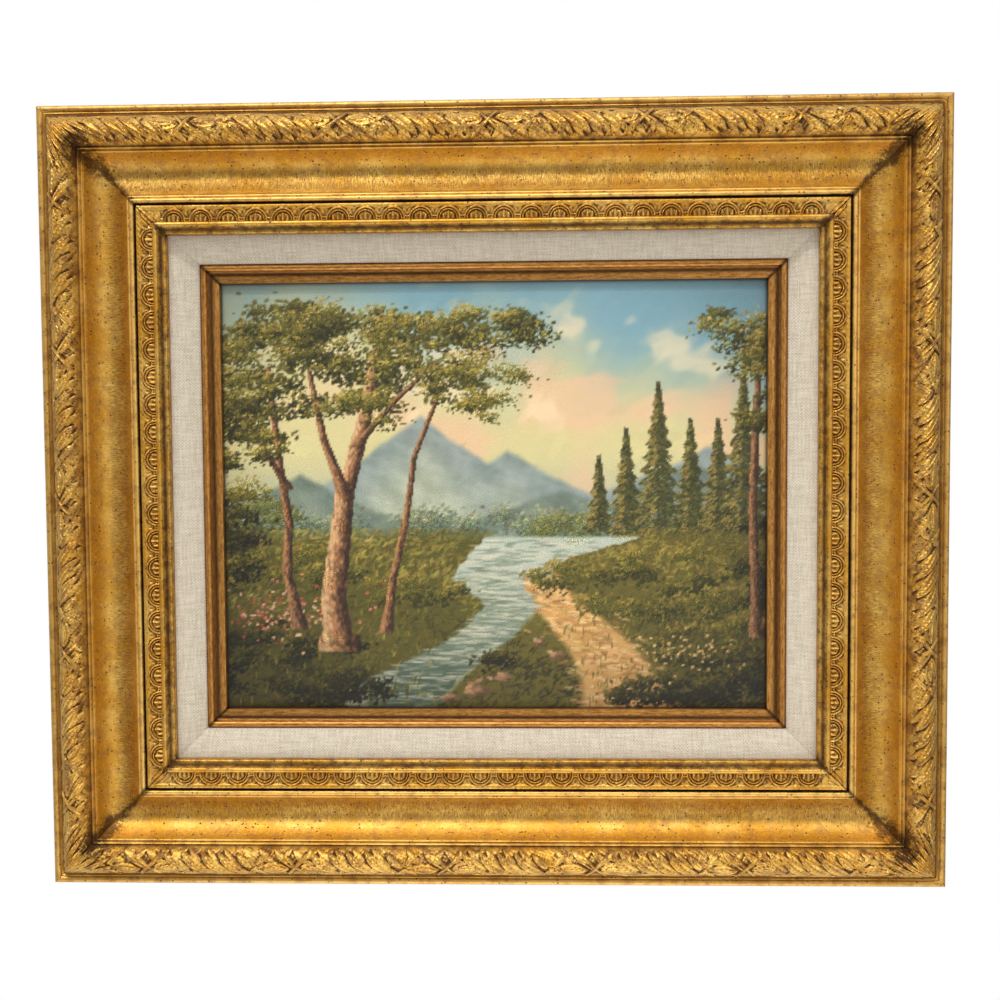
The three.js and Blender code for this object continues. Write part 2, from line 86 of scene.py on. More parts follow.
def blurred(values: Array, reach: int, rounds: int = 2) -> Array:
    """Averages a grid over its neighbours.

    Args:
        values: The grid.
        reach: How many cells each way are averaged.
        rounds: How many times it is done.

    Returns:
        The averaged grid, of the same shape.
    """
    span = 2 * reach + 1
    for _ in range(rounds):
        for axis in (0, 1):
            pad = [(reach + 1, reach) if a == axis else (0, 0) for a in (0, 1)]
            total = np.cumsum(np.pad(values, pad, mode="edge"), axis=axis)
            first = np.arange(values.shape[axis])
            high, low = (np.take(total, first + shift, axis=axis) for shift in (span, 0))
            values = (high - low) / span
    return values


def linear(shown: Array) -> Array:
    """The linear values of display values given from 0 to 1."""
    return np.where(shown <= 0.04045, shown / 12.92, ((shown + 0.055) / 1.055) ** 2.4)


def hue(red: float, green: float, blue: float) -> Colour:
    """The linear colour of three display values."""
    return tuple(linear(np.array([red, green, blue])).tolist())


# ------------------------------------------------------------------ the setting


class Side(Enum):
    """The four rails in turn, anticlockwise as seen from the front, with their turn about Y in degrees."""

    BOTTOM = 0
    RIGHT = -90
    TOP = 180
    LEFT = 90

    @property
    def label(self) -> str:
        """The side's word in the names of its pieces."""
        return self.name.lower()

    @property
    def level(self) -> bool:
        """Whether the rail lies level."""
        return self in (Side.BOTTOM, Side.TOP)


@dataclass(frozen=True)
class Setting:
    """Where the picture hangs: its centre, its back plane, its outer size and its foremost point."""

    x: float
    y: float
    z: float
    width: float
    height: float
    front: float

    @classmethod
    def of_rails(cls) -> "Setting":
        """Reads the place of the four rails from the fixed model."""
        boxes = [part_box(f"frame_rail_{side.label}") for side in Side]
        low = np.min([np.array(b[0]) for b in boxes], axis=0) / MM
        high = np.max([np.array(b[1]) for b in boxes], axis=0) / MM
        middle = (low + high) / 2.0
        return cls(middle[0], high[1], middle[2], high[0] - low[0], high[2] - low[2], high[1] - low[1])

    def length(self, side: Side) -> float:
        """The outer length of a rail."""
        return self.width if side.level else self.height

    def reach(self, side: Side) -> float:
        """How far a rail's outer edge is from the picture's centre."""
        return (self.height if side.level else self.width) / 2.0

    def place(self, side: Side, s: Array, u: Array, h: Array) -> Array:
        """Points of the row frame.

        Args:
            side: The rail.
            s: Places along the rail from its middle.
            u: Distances inwards from the frame's outer edge.
            h: Heights forwards from the frame's back.

        Returns:
            One row of x, y and z for each point.
        """
        turn = math.radians(side.value)
        up = u - self.reach(side)
        x = self.x + s * math.cos(turn) + up * math.sin(turn)
        z = self.z - s * math.sin(turn) + up * math.cos(turn)
        return np.stack([x, self.y - h, z], axis=-1)


# ------------------------------------------------------------------ meshes


@dataclass
class MeshDraft:
    """A mesh in the making: its points in millimetres, its faces, and named values at its points."""

    name: str
    points: list[Array] = field(default_factory=list)
    faces: list[Indices] = field(default_factory=list)
    slots: list[int] = field(default_factory=list)
    values: dict[str, list[Array]] = field(default_factory=dict)
    count: int = 0

    def add_points(self, points: Array, **values: Array) -> int:
        """Adds points.

        Args:
            points: One row of x, y and z for each.
            values: Named values, one or a row for each point.

        Returns:
            The index of the first of them.
        """
        first = self.count
        self.points.append(points)
        self.count += len(points)
        for key, value in values.items():
            self.values.setdefault(key, []).append(value)
        return first

    def add_faces(self, faces: Indices, slot: int = 0) -> None:
        """Adds faces that all have the same number of corners, one row each."""
        self.faces.append(faces)
        self.slots.append(slot)

    def add_values(self, mesh: bpy.types.Mesh) -> None:
        """Stores the named values at the mesh's points: numbers, colours or vectors.

        Args:
            mesh: The mesh.
        """
        for key, parts in self.values.items():
            value = np.concatenate(parts).astype(np.float32)
            if value.ndim == 1:
                kind, channel = "FLOAT", "value"
            elif key == "paint":
                kind, channel = "FLOAT_COLOR", "color"
            else:
                kind, channel = "FLOAT_VECTOR", "vector"
            mesh.attributes.new(key, kind, "POINT").data.foreach_set(channel, value.ravel())

    def build(self, materials: Sequence[bpy.types.Material], sharp: float = 40.0) -> bpy.types.Object:
        """Makes the object.

        Args:
            materials: The finishes, in the order of the slots.
            sharp: The angle in degrees beyond which an edge isn't smoothed.

        Returns:
            The object, linked to the scene.
        """
        mesh = bpy.data.meshes.new(self.name)
        points = np.concatenate(self.points) * MM
        mesh.vertices.add(len(points))
        mesh.vertices.foreach_set("co", points.astype(np.float32).ravel())
        loops = np.concatenate([f.ravel() for f in self.faces])
        sizes = np.concatenate([np.full(len(f), f.shape[1]) for f in self.faces])
        slots = np.concatenate([np.full(len(f), s) for f, s in zip(self.faces, self.slots)])
        mesh.loops.add(len(loops))
        mesh.loops.foreach_set("vertex_index", loops.astype(np.int32))
        mesh.polygons.add(len(sizes))
        starts = np.concatenate([[0], np.cumsum(sizes)[:-1]])
        mesh.polygons.foreach_set("loop_start", starts.astype(np.int32))
        mesh.polygons.foreach_set("material_index", slots.astype(np.int32))
        mesh.update(calc_edges=True)
        self.add_values(mesh)
        mesh.shade_smooth()
        mesh.set_sharp_from_angle(angle=math.radians(sharp))
        for material in materials:
            mesh.materials.append(material)
        piece = bpy.data.objects.new(self.name, mesh)
        bpy.context.scene.collection.objects.link(piece)
        return piece


@dataclass
class MitredRail:
    """A closed rail drawn as lines in order round its section, each a row of points from mitre to mitre."""

    side: Side
    setting: Setting
    mitre_gap: float = 0.05
    columns: int = 96
    lines: list[Array] = field(default_factory=list)
    recess: list[Array] = field(default_factory=list)

    def end(self, u: float) -> float:
        """How far along the rail its mitre is at u."""
        return self.setting.length(self.side) / 2.0 - u - self.mitre_gap

    def stations(self, u: float, columns: int) -> Array:
        """Places along a line, evenly from mitre to mitre."""
        return np.linspace(-1.0, 1.0, columns + 1) * self.end(u)

    def grid(self, us: Array, columns: int) -> tuple[Array, Array]:
        """Places s and u of a grid of lines."""
        s = np.stack([self.stations(u, columns) for u in us])
        return s, np.repeat(us[:, None], columns + 1, axis=1)

    def add_line(self, u: float, h: float | Array, columns: int = 0, recess: float | Array = 0.0) -> None:
        """Adds one line.

        Args:
            u: Its distance inwards.
            h: Its height, the same all along or one for each station.
            columns: Its number of stations less one, or 0 for the usual number.
            recess: How deep it lies among its neighbours, from -1 to 1; the finishes paint shade where it is
                above 0, and the gilt paints highlights where it is below.
        """
        s = self.stations(u, columns or self.columns)
        self.lines.append(np.stack([s, np.full_like(s, u), np.broadcast_to(h, s.shape)], axis=-1))
        self.recess.append(np.broadcast_to(recess, s.shape).astype(float))

    def add_grid(self, us: Array, heights: Array, recess: Array) -> None:
        """Adds a line for each u, with its row of heights and of recess."""
        for u, h, deep in zip(us, heights, recess):
            self.add_line(float(u), h, len(h) - 1, deep)

    def add_section(self, points: Sequence[tuple[float, ...]]) -> None:
        """Adds a plain line for each point of a section, given as its u, its h and perhaps its recess."""
        for u, h, *recess in points:
            self.add_line(u, h, recess=recess[0] if recess else 0.0)

    def draft(self, name: str, stain: Optional[Callable[[Array, Array], Array]] = None) -> MeshDraft:
        """Joins the lines into a closed body.

        Args:
            name: The piece's name.
            stain: Gives how dark a place is made, by toning and painted shade, from its distance to the mitre
                and its u.

        Returns:
            The draft, with the values rail, recess and stain at its points.
        """
        draft = MeshDraft(name)
        firsts = []
        for line, recess in zip(self.lines, self.recess):
            s, u, h = line.T
            distance = self.end(float(u[0])) - np.abs(s)
            toned_and_shaded = stain(distance, u) if stain else np.zeros_like(s)
            place = self.setting.place(self.side, s, u, h)
            firsts.append(draft.add_points(place, rail=line, recess=recess, stain=toned_and_shaded))
        counts = [len(line) - 1 for line in self.lines]
        for i, first in enumerate(firsts):
            j = (i + 1) % len(firsts)
            draft.add_faces(self.joined(first, counts[i], firsts[j], counts[j]))
        starts = np.array(firsts)
        draft.add_faces(starts[None, :])
        draft.add_faces((starts + np.array(counts))[None, ::-1])
        return draft

    @staticmethod
    def joined(a: int, a_cells: int, b: int, b_cells: int) -> Indices:
        """Faces between two neighbouring lines, one for each cell of the coarser.

        Args:
            a: The first point of one line.
            a_cells: How many cells that line has.
            b: The first point of the other.
            b_cells: How many cells the other has.

        Returns:
            One row of corners for each face.
        """
        cells = min(a_cells, b_cells)
        step_a, step_b = a_cells // cells, b_cells // cells
        start = np.arange(cells)[:, None]
        along_a = a + start * step_a + np.arange(step_a + 1)[None, :]
        along_b = b + start * step_b + np.arange(step_b, -1, -1)[None, :]
        return np.concatenate([along_a, along_b], axis=1)


def arc(centre: Pair, radius: float, start: float, stop: float, steps: int) -> list[Pair]:
    """Points of an arc in a section.

    Args:
        centre: The u and h of its centre.
        radius: Its radius.
        start: The angle in degrees where it starts, 90 being straight forwards.
        stop: The angle where it stops.
        steps: How many steps it has.

    Returns:
        The u and h of each point.
    """
    angles = np.radians(np.linspace(start, stop, steps + 1))
    return [(centre[0] + radius * math.cos(a), centre[1] + radius * math.sin(a)) for a in angles]


# ------------------------------------------------------------------ finishes

Number = Union["Value", float]
Step = tuple[float, float, float]


@dataclass(frozen=True)
class Value:
    """What a shader node gives, with the usual signs for sums and products."""

    nodes: "Nodes"
    socket: bpy.types.NodeSocket

    def __add__(self, other: Number) -> "Value":
        """The sum of the two."""
        return self.nodes.math("ADD", self, other)

    def __sub__(self, other: Number) -> "Value":
        """The difference of the two."""
        return self.nodes.math("SUBTRACT", self, other)

    def __mul__(self, other: Number) -> "Value":
        """The product of the two."""
        return self.nodes.math("MULTIPLY", self, other)

    def __or__(self, other: Number) -> "Value":
        """The greater of the two."""
        return self.nodes.math("MAXIMUM", self, other)

    def sine(self) -> "Value":
        """Its sine."""
        return self.nodes.math("SINE", self)

    def clamped(self) -> "Value":
        """Itself, kept from 0 to 1."""
        return self.nodes.math("ADD", self, 0.0, clamp=True)

    def step(self, low: float, high: float, top: float = 1.0) -> "Value":
        """A smooth rise, or a fall where low is above high.

        Args:
            low: Where it is 0.
            high: Where it is top.
            top: Its greatest value.

        Returns:
            The value.
        """
        node = self.nodes.tree.nodes.new("ShaderNodeMapRange")
        node.interpolation_type = "SMOOTHSTEP"
        self.nodes.plug(self, node.inputs["Value"])
        node.inputs["From Min"].default_value = min(low, high)
        node.inputs["From Max"].default_value = max(low, high)
        node.inputs["To Min"].default_value = 0.0 if low < high else top
        node.inputs["To Max"].default_value = top if low < high else 0.0
        return Value(self.nodes, node.outputs[0])

    def within(self, rise: Step, fall: Step) -> "Value":
        """The product of a rise and a fall, so that it is above 0 only between them."""
        return self.step(*rise) * self.step(*fall)


@dataclass
class Nodes:
    """A material's node tree, with one short call for each kind of node."""

    tree: bpy.types.NodeTree
    material: Optional[bpy.types.Material] = None

    @classmethod
    def of(cls, name: str) -> "Nodes":
        """Starts a material."""
        material = bpy.data.materials.new(name)
        material.use_nodes = True
        return cls(material.node_tree, material)

    def finished(self, **values: object) -> bpy.types.Material:
        """Sets the shader's sockets, whose names have spaces where these have underscores."""
        shader = self.tree.nodes["Principled BSDF"]
        for name, value in values.items():
            self.plug(value, shader.inputs[name.replace("_", " ")])
        return self.material

    def plug(self, value: object, socket: bpy.types.NodeSocket) -> None:
        """Sets a socket, by a link where the value comes from a node."""
        if isinstance(value, Value):
            self.tree.links.new(value.socket, socket)
        else:
            socket.default_value = value

    def given(self, kind: str, output: str) -> Value:
        """What a new node of a kind without inputs gives."""
        return Value(self, self.tree.nodes.new(kind).outputs[output])

    def attribute(self, name: str, output: str = "Fac") -> Value:
        """A value stored at the mesh's points."""
        node = self.tree.nodes.new("ShaderNodeAttribute")
        node.attribute_name = name
        return Value(self, node.outputs[output])

    def math(self, operation: str, a: Number, b: Number = 0.0, clamp: bool = False) -> Value:
        """A sum, product or other operation.

        Args:
            operation: The node's name for it.
            a: The first number.
            b: The second number, if it takes two.
            clamp: Whether the result is kept from 0 to 1.

        Returns:
            The value.
        """
        node = self.tree.nodes.new("ShaderNodeMath")
        node.operation = operation
        node.use_clamp = clamp
        self.plug(a, node.inputs[0])
        self.plug(b, node.inputs[1])
        return Value(self, node.outputs[0])

    def split(self, vector: Value) -> tuple[Value, ...]:
        """The three parts of a vector."""
        node = self.tree.nodes.new("ShaderNodeSeparateXYZ")
        self.plug(vector, node.inputs[0])
        return tuple(Value(self, output) for output in node.outputs)

    def scaled(self, vector: Value, by: Sequence[float]) -> Value:
        """A vector stretched along its three axes."""
        node = self.tree.nodes.new("ShaderNodeVectorMath")
        node.operation = "MULTIPLY"
        self.plug(vector, node.inputs[0])
        node.inputs[1].default_value = by
        return Value(self, node.outputs[0])

    def noise(self, vector: Value, scale: float, detail: float = 3.0, rough: float = 0.5) -> Value:
        """A cloudy value about 0.5.

        Args:
            vector: The place.
            scale: How many features each unit of it has.
            detail: How many finer layers it has.
            rough: How strong the finer layers are.

        Returns:
            The value.
        """
        node = self.tree.nodes.new("ShaderNodeTexNoise")
        for name, value in (("Vector", vector), ("Scale", scale), ("Detail", detail), ("Roughness", rough)):
            self.plug(value, node.inputs[name])
        return Value(self, node.outputs["Fac"])

    def weave(self, one: Value, other: Value, pitch: float) -> Value:
        """A plain weave, from -1 to 1, with a thread in each pitch both ways."""
        turn = math.pi / pitch
        return (one * turn).sine() * (other * turn).sine()

    def mix(self, share: Number, a: object, b: object, blend: str = "MIX") -> Value:
        """A mix of two colours, each a value or three numbers.

        Args:
            share: How much of the second there is.
            a: The first colour.
            b: The second colour.
            blend: The node's name for how they mix.

        Returns:
            The mixed colour.
        """
        node = self.tree.nodes.new("ShaderNodeMix")
        node.data_type = "RGBA"
        node.blend_type = blend
        self.plug(share, node.inputs[0])
        for value, socket in ((a, node.inputs[6]), (b, node.inputs[7])):
            self.plug((*value, 1.0) if isinstance(value, tuple) else value, socket)
        return Value(self, node.outputs[2])

    def layered(self, colour: Value, layers: Sequence[tuple[Number, object]]) -> Value:
        """A colour with others laid over it in turn, each by its share."""
        for share, over in layers:
            colour = self.mix(share, colour, over)
        return colour

    def bump(self, height: Value, depth: float, normal: Optional[Value] = None) -> Value:
        """A normal roughened by a height.

        Args:
            height: The height, from 0 to 1.
            depth: How many millimetres its whole range is deep.
            normal: The normal that it is laid on, if not the surface's own.

        Returns:
            The normal.
        """
        node = self.tree.nodes.new("ShaderNodeBump")
        node.inputs["Distance"].default_value = depth * MM
        self.plug(height, node.inputs["Height"])
        if normal is not None:
            self.plug(normal, node.inputs["Normal"])
        return Value(self, node.outputs[0])

    def place(self) -> Value:
        """Places in the row frame, in millimetres."""
        return self.scaled(self.given("ShaderNodeTexCoord", "Object"), (1.0 / MM, 1.0 / MM, 1.0 / MM))


@dataclass(frozen=True)
class AntiqueGilt:
    """Gold leaf over brown clay, toned and given painted shade in its hollows and painted highlights on its
    raised parts, with a painted darker reflection on the cove's walls, streaked in the cove and fly-specked
    all over.

    The bands are distances inwards from the frame's outer edge: a rise from 0 and a fall back to it.
    """

    pale: Colour = hue(0.89, 0.71, 0.35)
    deep: Colour = hue(0.81, 0.59, 0.19)
    bright: Colour = hue(0.97, 0.80, 0.45)
    olive: Colour = hue(0.46, 0.36, 0.15)
    umber: Colour = hue(0.27, 0.15, 0.06)
    clay: Colour = hue(0.61, 0.42, 0.24)
    amber: Colour = hue(0.76, 0.52, 0.10)
    speck: Colour = hue(0.17, 0.10, 0.05)
    ochre: Colour = hue(0.70, 0.52, 0.25)
    wood: Colour = hue(0.67, 0.49, 0.31)
    torus_band: tuple[Step, Step] = ((3.0, 5.0, 1.0), (20.5, 18.0, 0.45))
    outer_cove_band: tuple[Step, Step] = ((20.8, 21.6, 1.0), (27.0, 22.5, 1.0))
    streaked_band: tuple[Step, Step] = ((24.5, 30.5, 1.0), (38.6, 35.5, 1.0))
    inner_cove_band: tuple[Step, Step] = ((33.0, 38.0, 0.5), (38.8, 38.4, 1.0))
    reeds_band: tuple[Step, Step] = ((38.4, 39.0, 1.0), (42.6, 42.0, 0.75))
    bead_fall: Step = (3.4, 2.6, 0.45)
    edge_fall: Step = (5.5, 2.5, 0.25)
    side_fall: Step = (4.2, 3.8, 0.85)
    close_specks: tuple[float, float] = (0.8, 0.34)
    sparse_specks: tuple[float, float] = (0.36, 0.12)
    metallic: float = 0.82

    @staticmethod
    def specks(nodes: Nodes, place: Value, scale: float, largest: float) -> Value:
        """Where one size of fly-speck lies, from 0 to 1.

        Args:
            nodes: The material's nodes.
            place: The place on the rail.
            scale: How many cells there are in a millimetre.
            largest: The radius of the largest speck, as a share of a cell.

        Returns:
            The value.
        """
        node = nodes.tree.nodes.new("ShaderNodeTexVoronoi")
        nodes.plug(place, node.inputs["Vector"])
        node.inputs["Scale"].default_value = scale
        kind, wide, _ = nodes.split(Value(nodes, node.outputs["Color"]))
        size = nodes.math("POWER", wide, 2.0) * largest
        spot = (Value(nodes, node.outputs["Distance"]) - size).step(0.06, -0.02)
        return spot * kind.step(0.35, 0.40, 0.8)

    def build(self) -> bpy.types.Material:
        """Makes the material, which reads the rail, recess and stain values."""
        nodes = Nodes.of("antique_gilt")
        rail = nodes.attribute("rail", "Vector")
        recess, stain = nodes.attribute("recess"), nodes.attribute("stain")
        _, across, forward = nodes.split(rail)
        clouds, mottle = nodes.noise(rail, 0.07, 4.0), nodes.noise(rail, 0.8, 5.0, 0.75)
        rubbed, grain = nodes.noise(rail, 0.22, 5.0, 0.65), nodes.noise(rail, 2.6, 3.0, 0.6)
        hollow = across.within(*self.inner_cove_band) | across.within(*self.outer_cove_band)
        # painted highlights: the reeds and the bead are given bright gold
        raised = across.within(*self.reeds_band) | across.step(*self.bead_fall)
        cove = across.within(*self.streaked_band)
        brushed = nodes.noise(nodes.scaled(rail, (3.2, 0.45, 0.1)), 1.0, 4.0, 0.8)
        streaked = cove * brushed.step(0.42, 0.60, 0.78)
        torus = across.within(*self.torus_band)
        worn = rubbed.step(0.46, 0.62) * (torus * 0.55 + 0.4)
        toned_and_shaded = stain + (rubbed + mottle - 1.0) * (stain * 2.2 + 0.35)
        speck = self.specks(nodes, rail, *self.close_specks) | self.specks(nodes, rail, *self.sparse_specks)
        painted = across.step(*self.side_fall) * forward.step(33.5, 31.5)
        bare = (across.step(48.4, 48.9) * forward.step(34.4, 33.4)) | forward.step(1.6, 0.4)
        fibres = nodes.noise(nodes.scaled(rail, (0.05, 1.1, 1.1)), 1.0, 4.0, 0.7)
        colour = nodes.layered(
            nodes.mix(clouds.step(0.35, 0.65), self.deep, self.pale),
            (
                # painted darker reflection: amber on the cove's walls, as gold mirroring dark surroundings
                (hollow * 0.8, self.amber),
                (mottle.step(0.50, 0.74, 0.38), self.olive),
                (mottle.step(0.48, 0.30, 0.45), self.bright),
                # painted highlights: bright gold on the reeds, the bead and every raised rim
                (raised | recess.step(-0.15, -0.8, 0.5), self.bright),
                (streaked, self.olive),
                ((across.step(*self.edge_fall) + worn).clamped(), self.clay),
                (torus * 0.2, self.umber),
                # partly toning, partly painted shade: umber where the stain value and the recess are high
                (toned_and_shaded.step(0.15, 0.85, 0.85), self.umber),
                (recess.step(0.05, 0.55, 0.9), self.umber),
                (speck, self.speck),
                (painted, nodes.mix(rubbed.step(0.4, 0.75, 0.5), self.ochre, self.clay)),
                (bare, nodes.mix(fibres.step(0.35, 0.7, 0.6), self.wood, self.umber)),
            ),
        )
        dull = speck | recess.step(0.05, 0.5) | bare | painted
        normal = nodes.bump(nodes.noise(rail, 1.4, 5.0, 0.7), 0.16)
        return nodes.finished(
            Base_Color=colour,
            Roughness=(cove * 0.03 + grain * 0.18 + dull * 0.3 + 0.33).clamped(),
            Metallic=(dull * -0.5 + bare * -0.4 + self.metallic).clamped(),
            Normal=nodes.bump(streaked, 0.03, normal),
        )


@dataclass(frozen=True)
class WovenLinen:
    """Natural linen glued over the liner, in plain weave with slubs."""

    pale: Colour = hue(0.87, 0.83, 0.76)
    dark: Colour = hue(0.72, 0.67, 0.58)
    pitch: float = 0.66

    def build(self) -> bpy.types.Material:
        """Makes the material, which reads the rail value."""
        nodes = Nodes.of("woven_linen")
        rail = nodes.attribute("rail", "Vector")
        wander = nodes.noise(rail, 0.25, 2.0) * 1.6
        along, across, _ = nodes.split(rail)
        weave = nodes.weave(along + wander, across + wander, self.pitch)
        threads = nodes.noise(nodes.scaled(rail, (1.4, 0.12, 0.12)), 1.0, 3.0, 0.7)
        picks = nodes.noise(nodes.scaled(rail, (0.12, 1.4, 1.4)), 1.0, 3.0, 0.7)
        slub = (threads + picks) * 0.5
        return nodes.finished(
            Base_Color=nodes.mix((slub + weave * 0.11).step(0.28, 0.68), self.dark, self.pale),
            Normal=nodes.bump(weave * 0.4 + slub, 0.16),
            Roughness=0.9,
            Sheen_Weight=0.15,
            Specular_IOR_Level=0.25,
        )


@dataclass(frozen=True)
class BronzeGilt:
    """Brown bronze paint brushed along the slip, with painted shade in its hollow."""

    bright: Colour = hue(0.88, 0.64, 0.33)
    brown: Colour = hue(0.54, 0.35, 0.15)
    dark: Colour = hue(0.20, 0.11, 0.05)

    def build(self) -> bpy.types.Material:
        """Makes the material, which reads the rail, recess and stain values."""
        nodes = Nodes.of("bronze_gilt")
        rail = nodes.attribute("rail", "Vector")
        brushed = nodes.noise(nodes.scaled(rail, (0.30, 1.3, 1.3)), 1.0, 5.0, 0.75)
        mottle = nodes.noise(rail, 0.9, 4.0, 0.7)
        layers = (
            # painted shade: the recess darkens the slip's hollow
            (nodes.attribute("recess").step(0.05, 0.6, 0.85), self.dark),
            (nodes.attribute("stain").step(0.3, 0.9, 0.8), self.dark),
            (mottle.step(0.54, 0.72, 0.55), self.dark),
        )
        return nodes.finished(
            Base_Color=nodes.layered(nodes.mix(brushed.step(0.26, 0.74), self.brown, self.bright), layers),
            Roughness=mottle * 0.25 + 0.32,
            Normal=nodes.bump(brushed, 0.05),
            Metallic=0.85,
        )


@dataclass(frozen=True)
class OilPaint:
    """Oil colour over a canvas weave, satin, with bristle marks, and dappled where there are leaves."""

    pitch: float = 0.5
    roughness: float = 0.42
    leaf_shade: Colour = (0.42, 0.42, 0.36)
    leaf_light: Colour = (1.5, 1.45, 1.25)

    def build(self) -> bpy.types.Material:
        """Makes the material, which reads the paint colour and the leafage value."""
        nodes = Nodes.of("oil_paint")
        place = nodes.place()
        across, _, up = nodes.split(place)
        paint = nodes.attribute("paint", "Color")
        tints = (self.leaf_shade, self.leaf_light)
        darker, lighter = (nodes.mix(1.0, paint, tint, "MULTIPLY") for tint in tints)
        dapple = nodes.mix(nodes.noise(place, 1.5, 3.0, 0.7).step(0.40, 0.60), darker, lighter)
        bristle = nodes.noise(nodes.scaled(place, (0.9, 0.9, 0.35)), 2.2, 4.0, 0.6)
        return nodes.finished(
            Base_Color=nodes.mix(nodes.attribute("leafage") * 0.8, paint, dapple),
            Normal=nodes.bump(bristle, 0.08, nodes.bump(nodes.weave(across, up, self.pitch), 0.05)),
            Roughness=self.roughness,
            Specular_IOR_Level=0.45,
        )


@dataclass(frozen=True)
class RawCanvas:
    """The unprimed back of the canvas."""

    flax: Colour = hue(0.74, 0.66, 0.52)
    shade: Colour = (0.76, 0.74, 0.70)
    pitch: float = 0.7

    def build(self) -> bpy.types.Material:
        """Makes the material."""
        nodes = Nodes.of("raw_canvas")
        place = nodes.place()
        across, deep, up = nodes.split(place)
        slub = nodes.noise(nodes.scaled(place, (1.0, 1.0, 0.3)), 1.0, 3.0)
        cloth = slub + nodes.weave(across + deep, up + deep, self.pitch) * 0.12
        dark = tuple(light * share for light, share in zip(self.flax, self.shade))
        return nodes.finished(
            Base_Color=nodes.mix(cloth.step(0.3, 0.65), dark, self.flax),
            Normal=nodes.bump(cloth, 0.2),
            Roughness=0.92,
        )


@dataclass(frozen=True)
class BarePine:
    """Planed pine whose grain runs along the bar."""

    level: bool
    early: Colour = hue(0.86, 0.71, 0.50)
    late: Colour = hue(0.66, 0.46, 0.26)
    along: float = 0.012
    across: float = 0.35
    through: float = 0.6

    def build(self) -> bpy.types.Material:
        """Makes the material."""
        nodes = Nodes.of(f"bare_pine_{'level' if self.level else 'upright'}")
        place = nodes.place()
        ends = (self.along, self.across) if self.level else (self.across, self.along)
        grain = (ends[0], self.through, ends[1])
        rings = (nodes.noise(nodes.scaled(place, grain), 0.5, 2.0) * 60.0).sine()
        fibre = nodes.noise(nodes.scaled(place, tuple(4.0 * g for g in grain)), 1.5, 4.0, 0.7)
        shade = rings.step(-0.5, 1.0, 0.3) + fibre * 0.45
        return nodes.finished(
            Base_Color=nodes.mix(shade.step(0.1, 0.9), self.early, self.late),
            Normal=nodes.bump(fibre, 0.12),
            Roughness=0.72,
        )


@dataclass(frozen=True)
class PlatedSteel:
    """Thin brassy plating on pressed steel, dulled in patches."""

    metal: Colour = hue(0.80, 0.72, 0.50)
    dull: Colour = hue(0.52, 0.44, 0.30)

    def build(self) -> bpy.types.Material:
        """Makes the material."""
        nodes = Nodes.of("plated_steel")
        place = nodes.place()
        patch = nodes.noise(place, 0.35, 4.0, 0.65)
        scratch = nodes.noise(nodes.scaled(place, (0.3, 2.0, 4.0)), 1.2, 3.0)
        return nodes.finished(
            Base_Color=nodes.mix(patch.step(0.45, 0.7), self.metal, self.dull),
            Roughness=scratch * 0.25 + 0.22,
            Normal=nodes.bump(scratch, 0.02),
            Metallic=1.0,
        )


# ------------------------------------------------------------------ the carved frame


@dataclass(frozen=True)
class Lance:
    """A carved lance leaf with a raised rim and midrib, from its base to its tip.

    Its middle bows sideways by its bend, its rim stands as high as its rise, and it is hollowed between rim
    and midrib by a share from 0 to 1.
    """

    base: Pair
    tip: Pair
    width: float
    bend: float
    rise: float
    hollow: float = 0.5

    def relief(self, x: Array, w: Array) -> Array:
        """Relief of the leaf.

        Args:
            x: Places along the band.
            w: Places across it.

        Returns:
            The height at each place, 0 outside it.
        """
        dx, dw = self.tip[0] - self.base[0], self.tip[1] - self.base[1]
        length = math.hypot(dx, dw)
        ex, ew = dx / length, dw / length
        from_x, from_w = x - self.base[0], w - self.base[1]
        along = (from_x * ex + from_w * ew) / length
        inside = np.clip(along, 0.0, 1.0)
        across = from_w * ex - from_x * ew - 4.0 * self.bend * inside * (1.0 - inside)
        half = 0.5 * self.width * np.sin(math.pi * inside**0.8) ** 0.75 + 1e-3
        q = np.abs(across) / half
        rim = 1.0 - self.hollow + self.hollow * np.clip(q, 0.0, 1.0) ** 3
        midrib = 0.38 * np.clip(1.0 - np.abs(across) / 0.42, 0.0, 1.0)
        veins = 0.09 * np.sin(length * inside * 3.4 - 2.2 * q) * np.clip(1.0 - q, 0.0, 1.0)
        shape = (rim + midrib + veins) * np.clip(1.0 - q**9, 0.0, 1.0)
        height = self.rise * shape * within(along, (0.0, 0.10), (1.0, 0.93)) * (0.75 + 0.35 * inside)
        return np.where((along > 0.0) & (along < 1.0) & (q < 1.0), height, 0.0)


@dataclass(frozen=True)
class Ribbon:
    """A carved straight ribbon, rounded across, with its ends let into the ground."""

    start: Pair
    stop: Pair
    width: float
    rise: float

    def relief(self, x: Array, w: Array) -> Array:
        """Relief of the ribbon.

        Args:
            x: Places along the band.
            w: Places across it.

        Returns:
            The height at each place, 0 outside it.
        """
        dx, dw = self.stop[0] - self.start[0], self.stop[1] - self.start[1]
        length = math.hypot(dx, dw)
        from_x, from_w = x - self.start[0], w - self.start[1]
        along = (from_x * dx + from_w * dw) / length
        across = (from_w * dx - from_x * dw) / length
        section = ridge(across, self.width / 2.0) - 0.3 * ridge(across, self.width / 7.0)
        return self.rise * section * within(along, (0.0, 1.0), (length, length - 1.0))


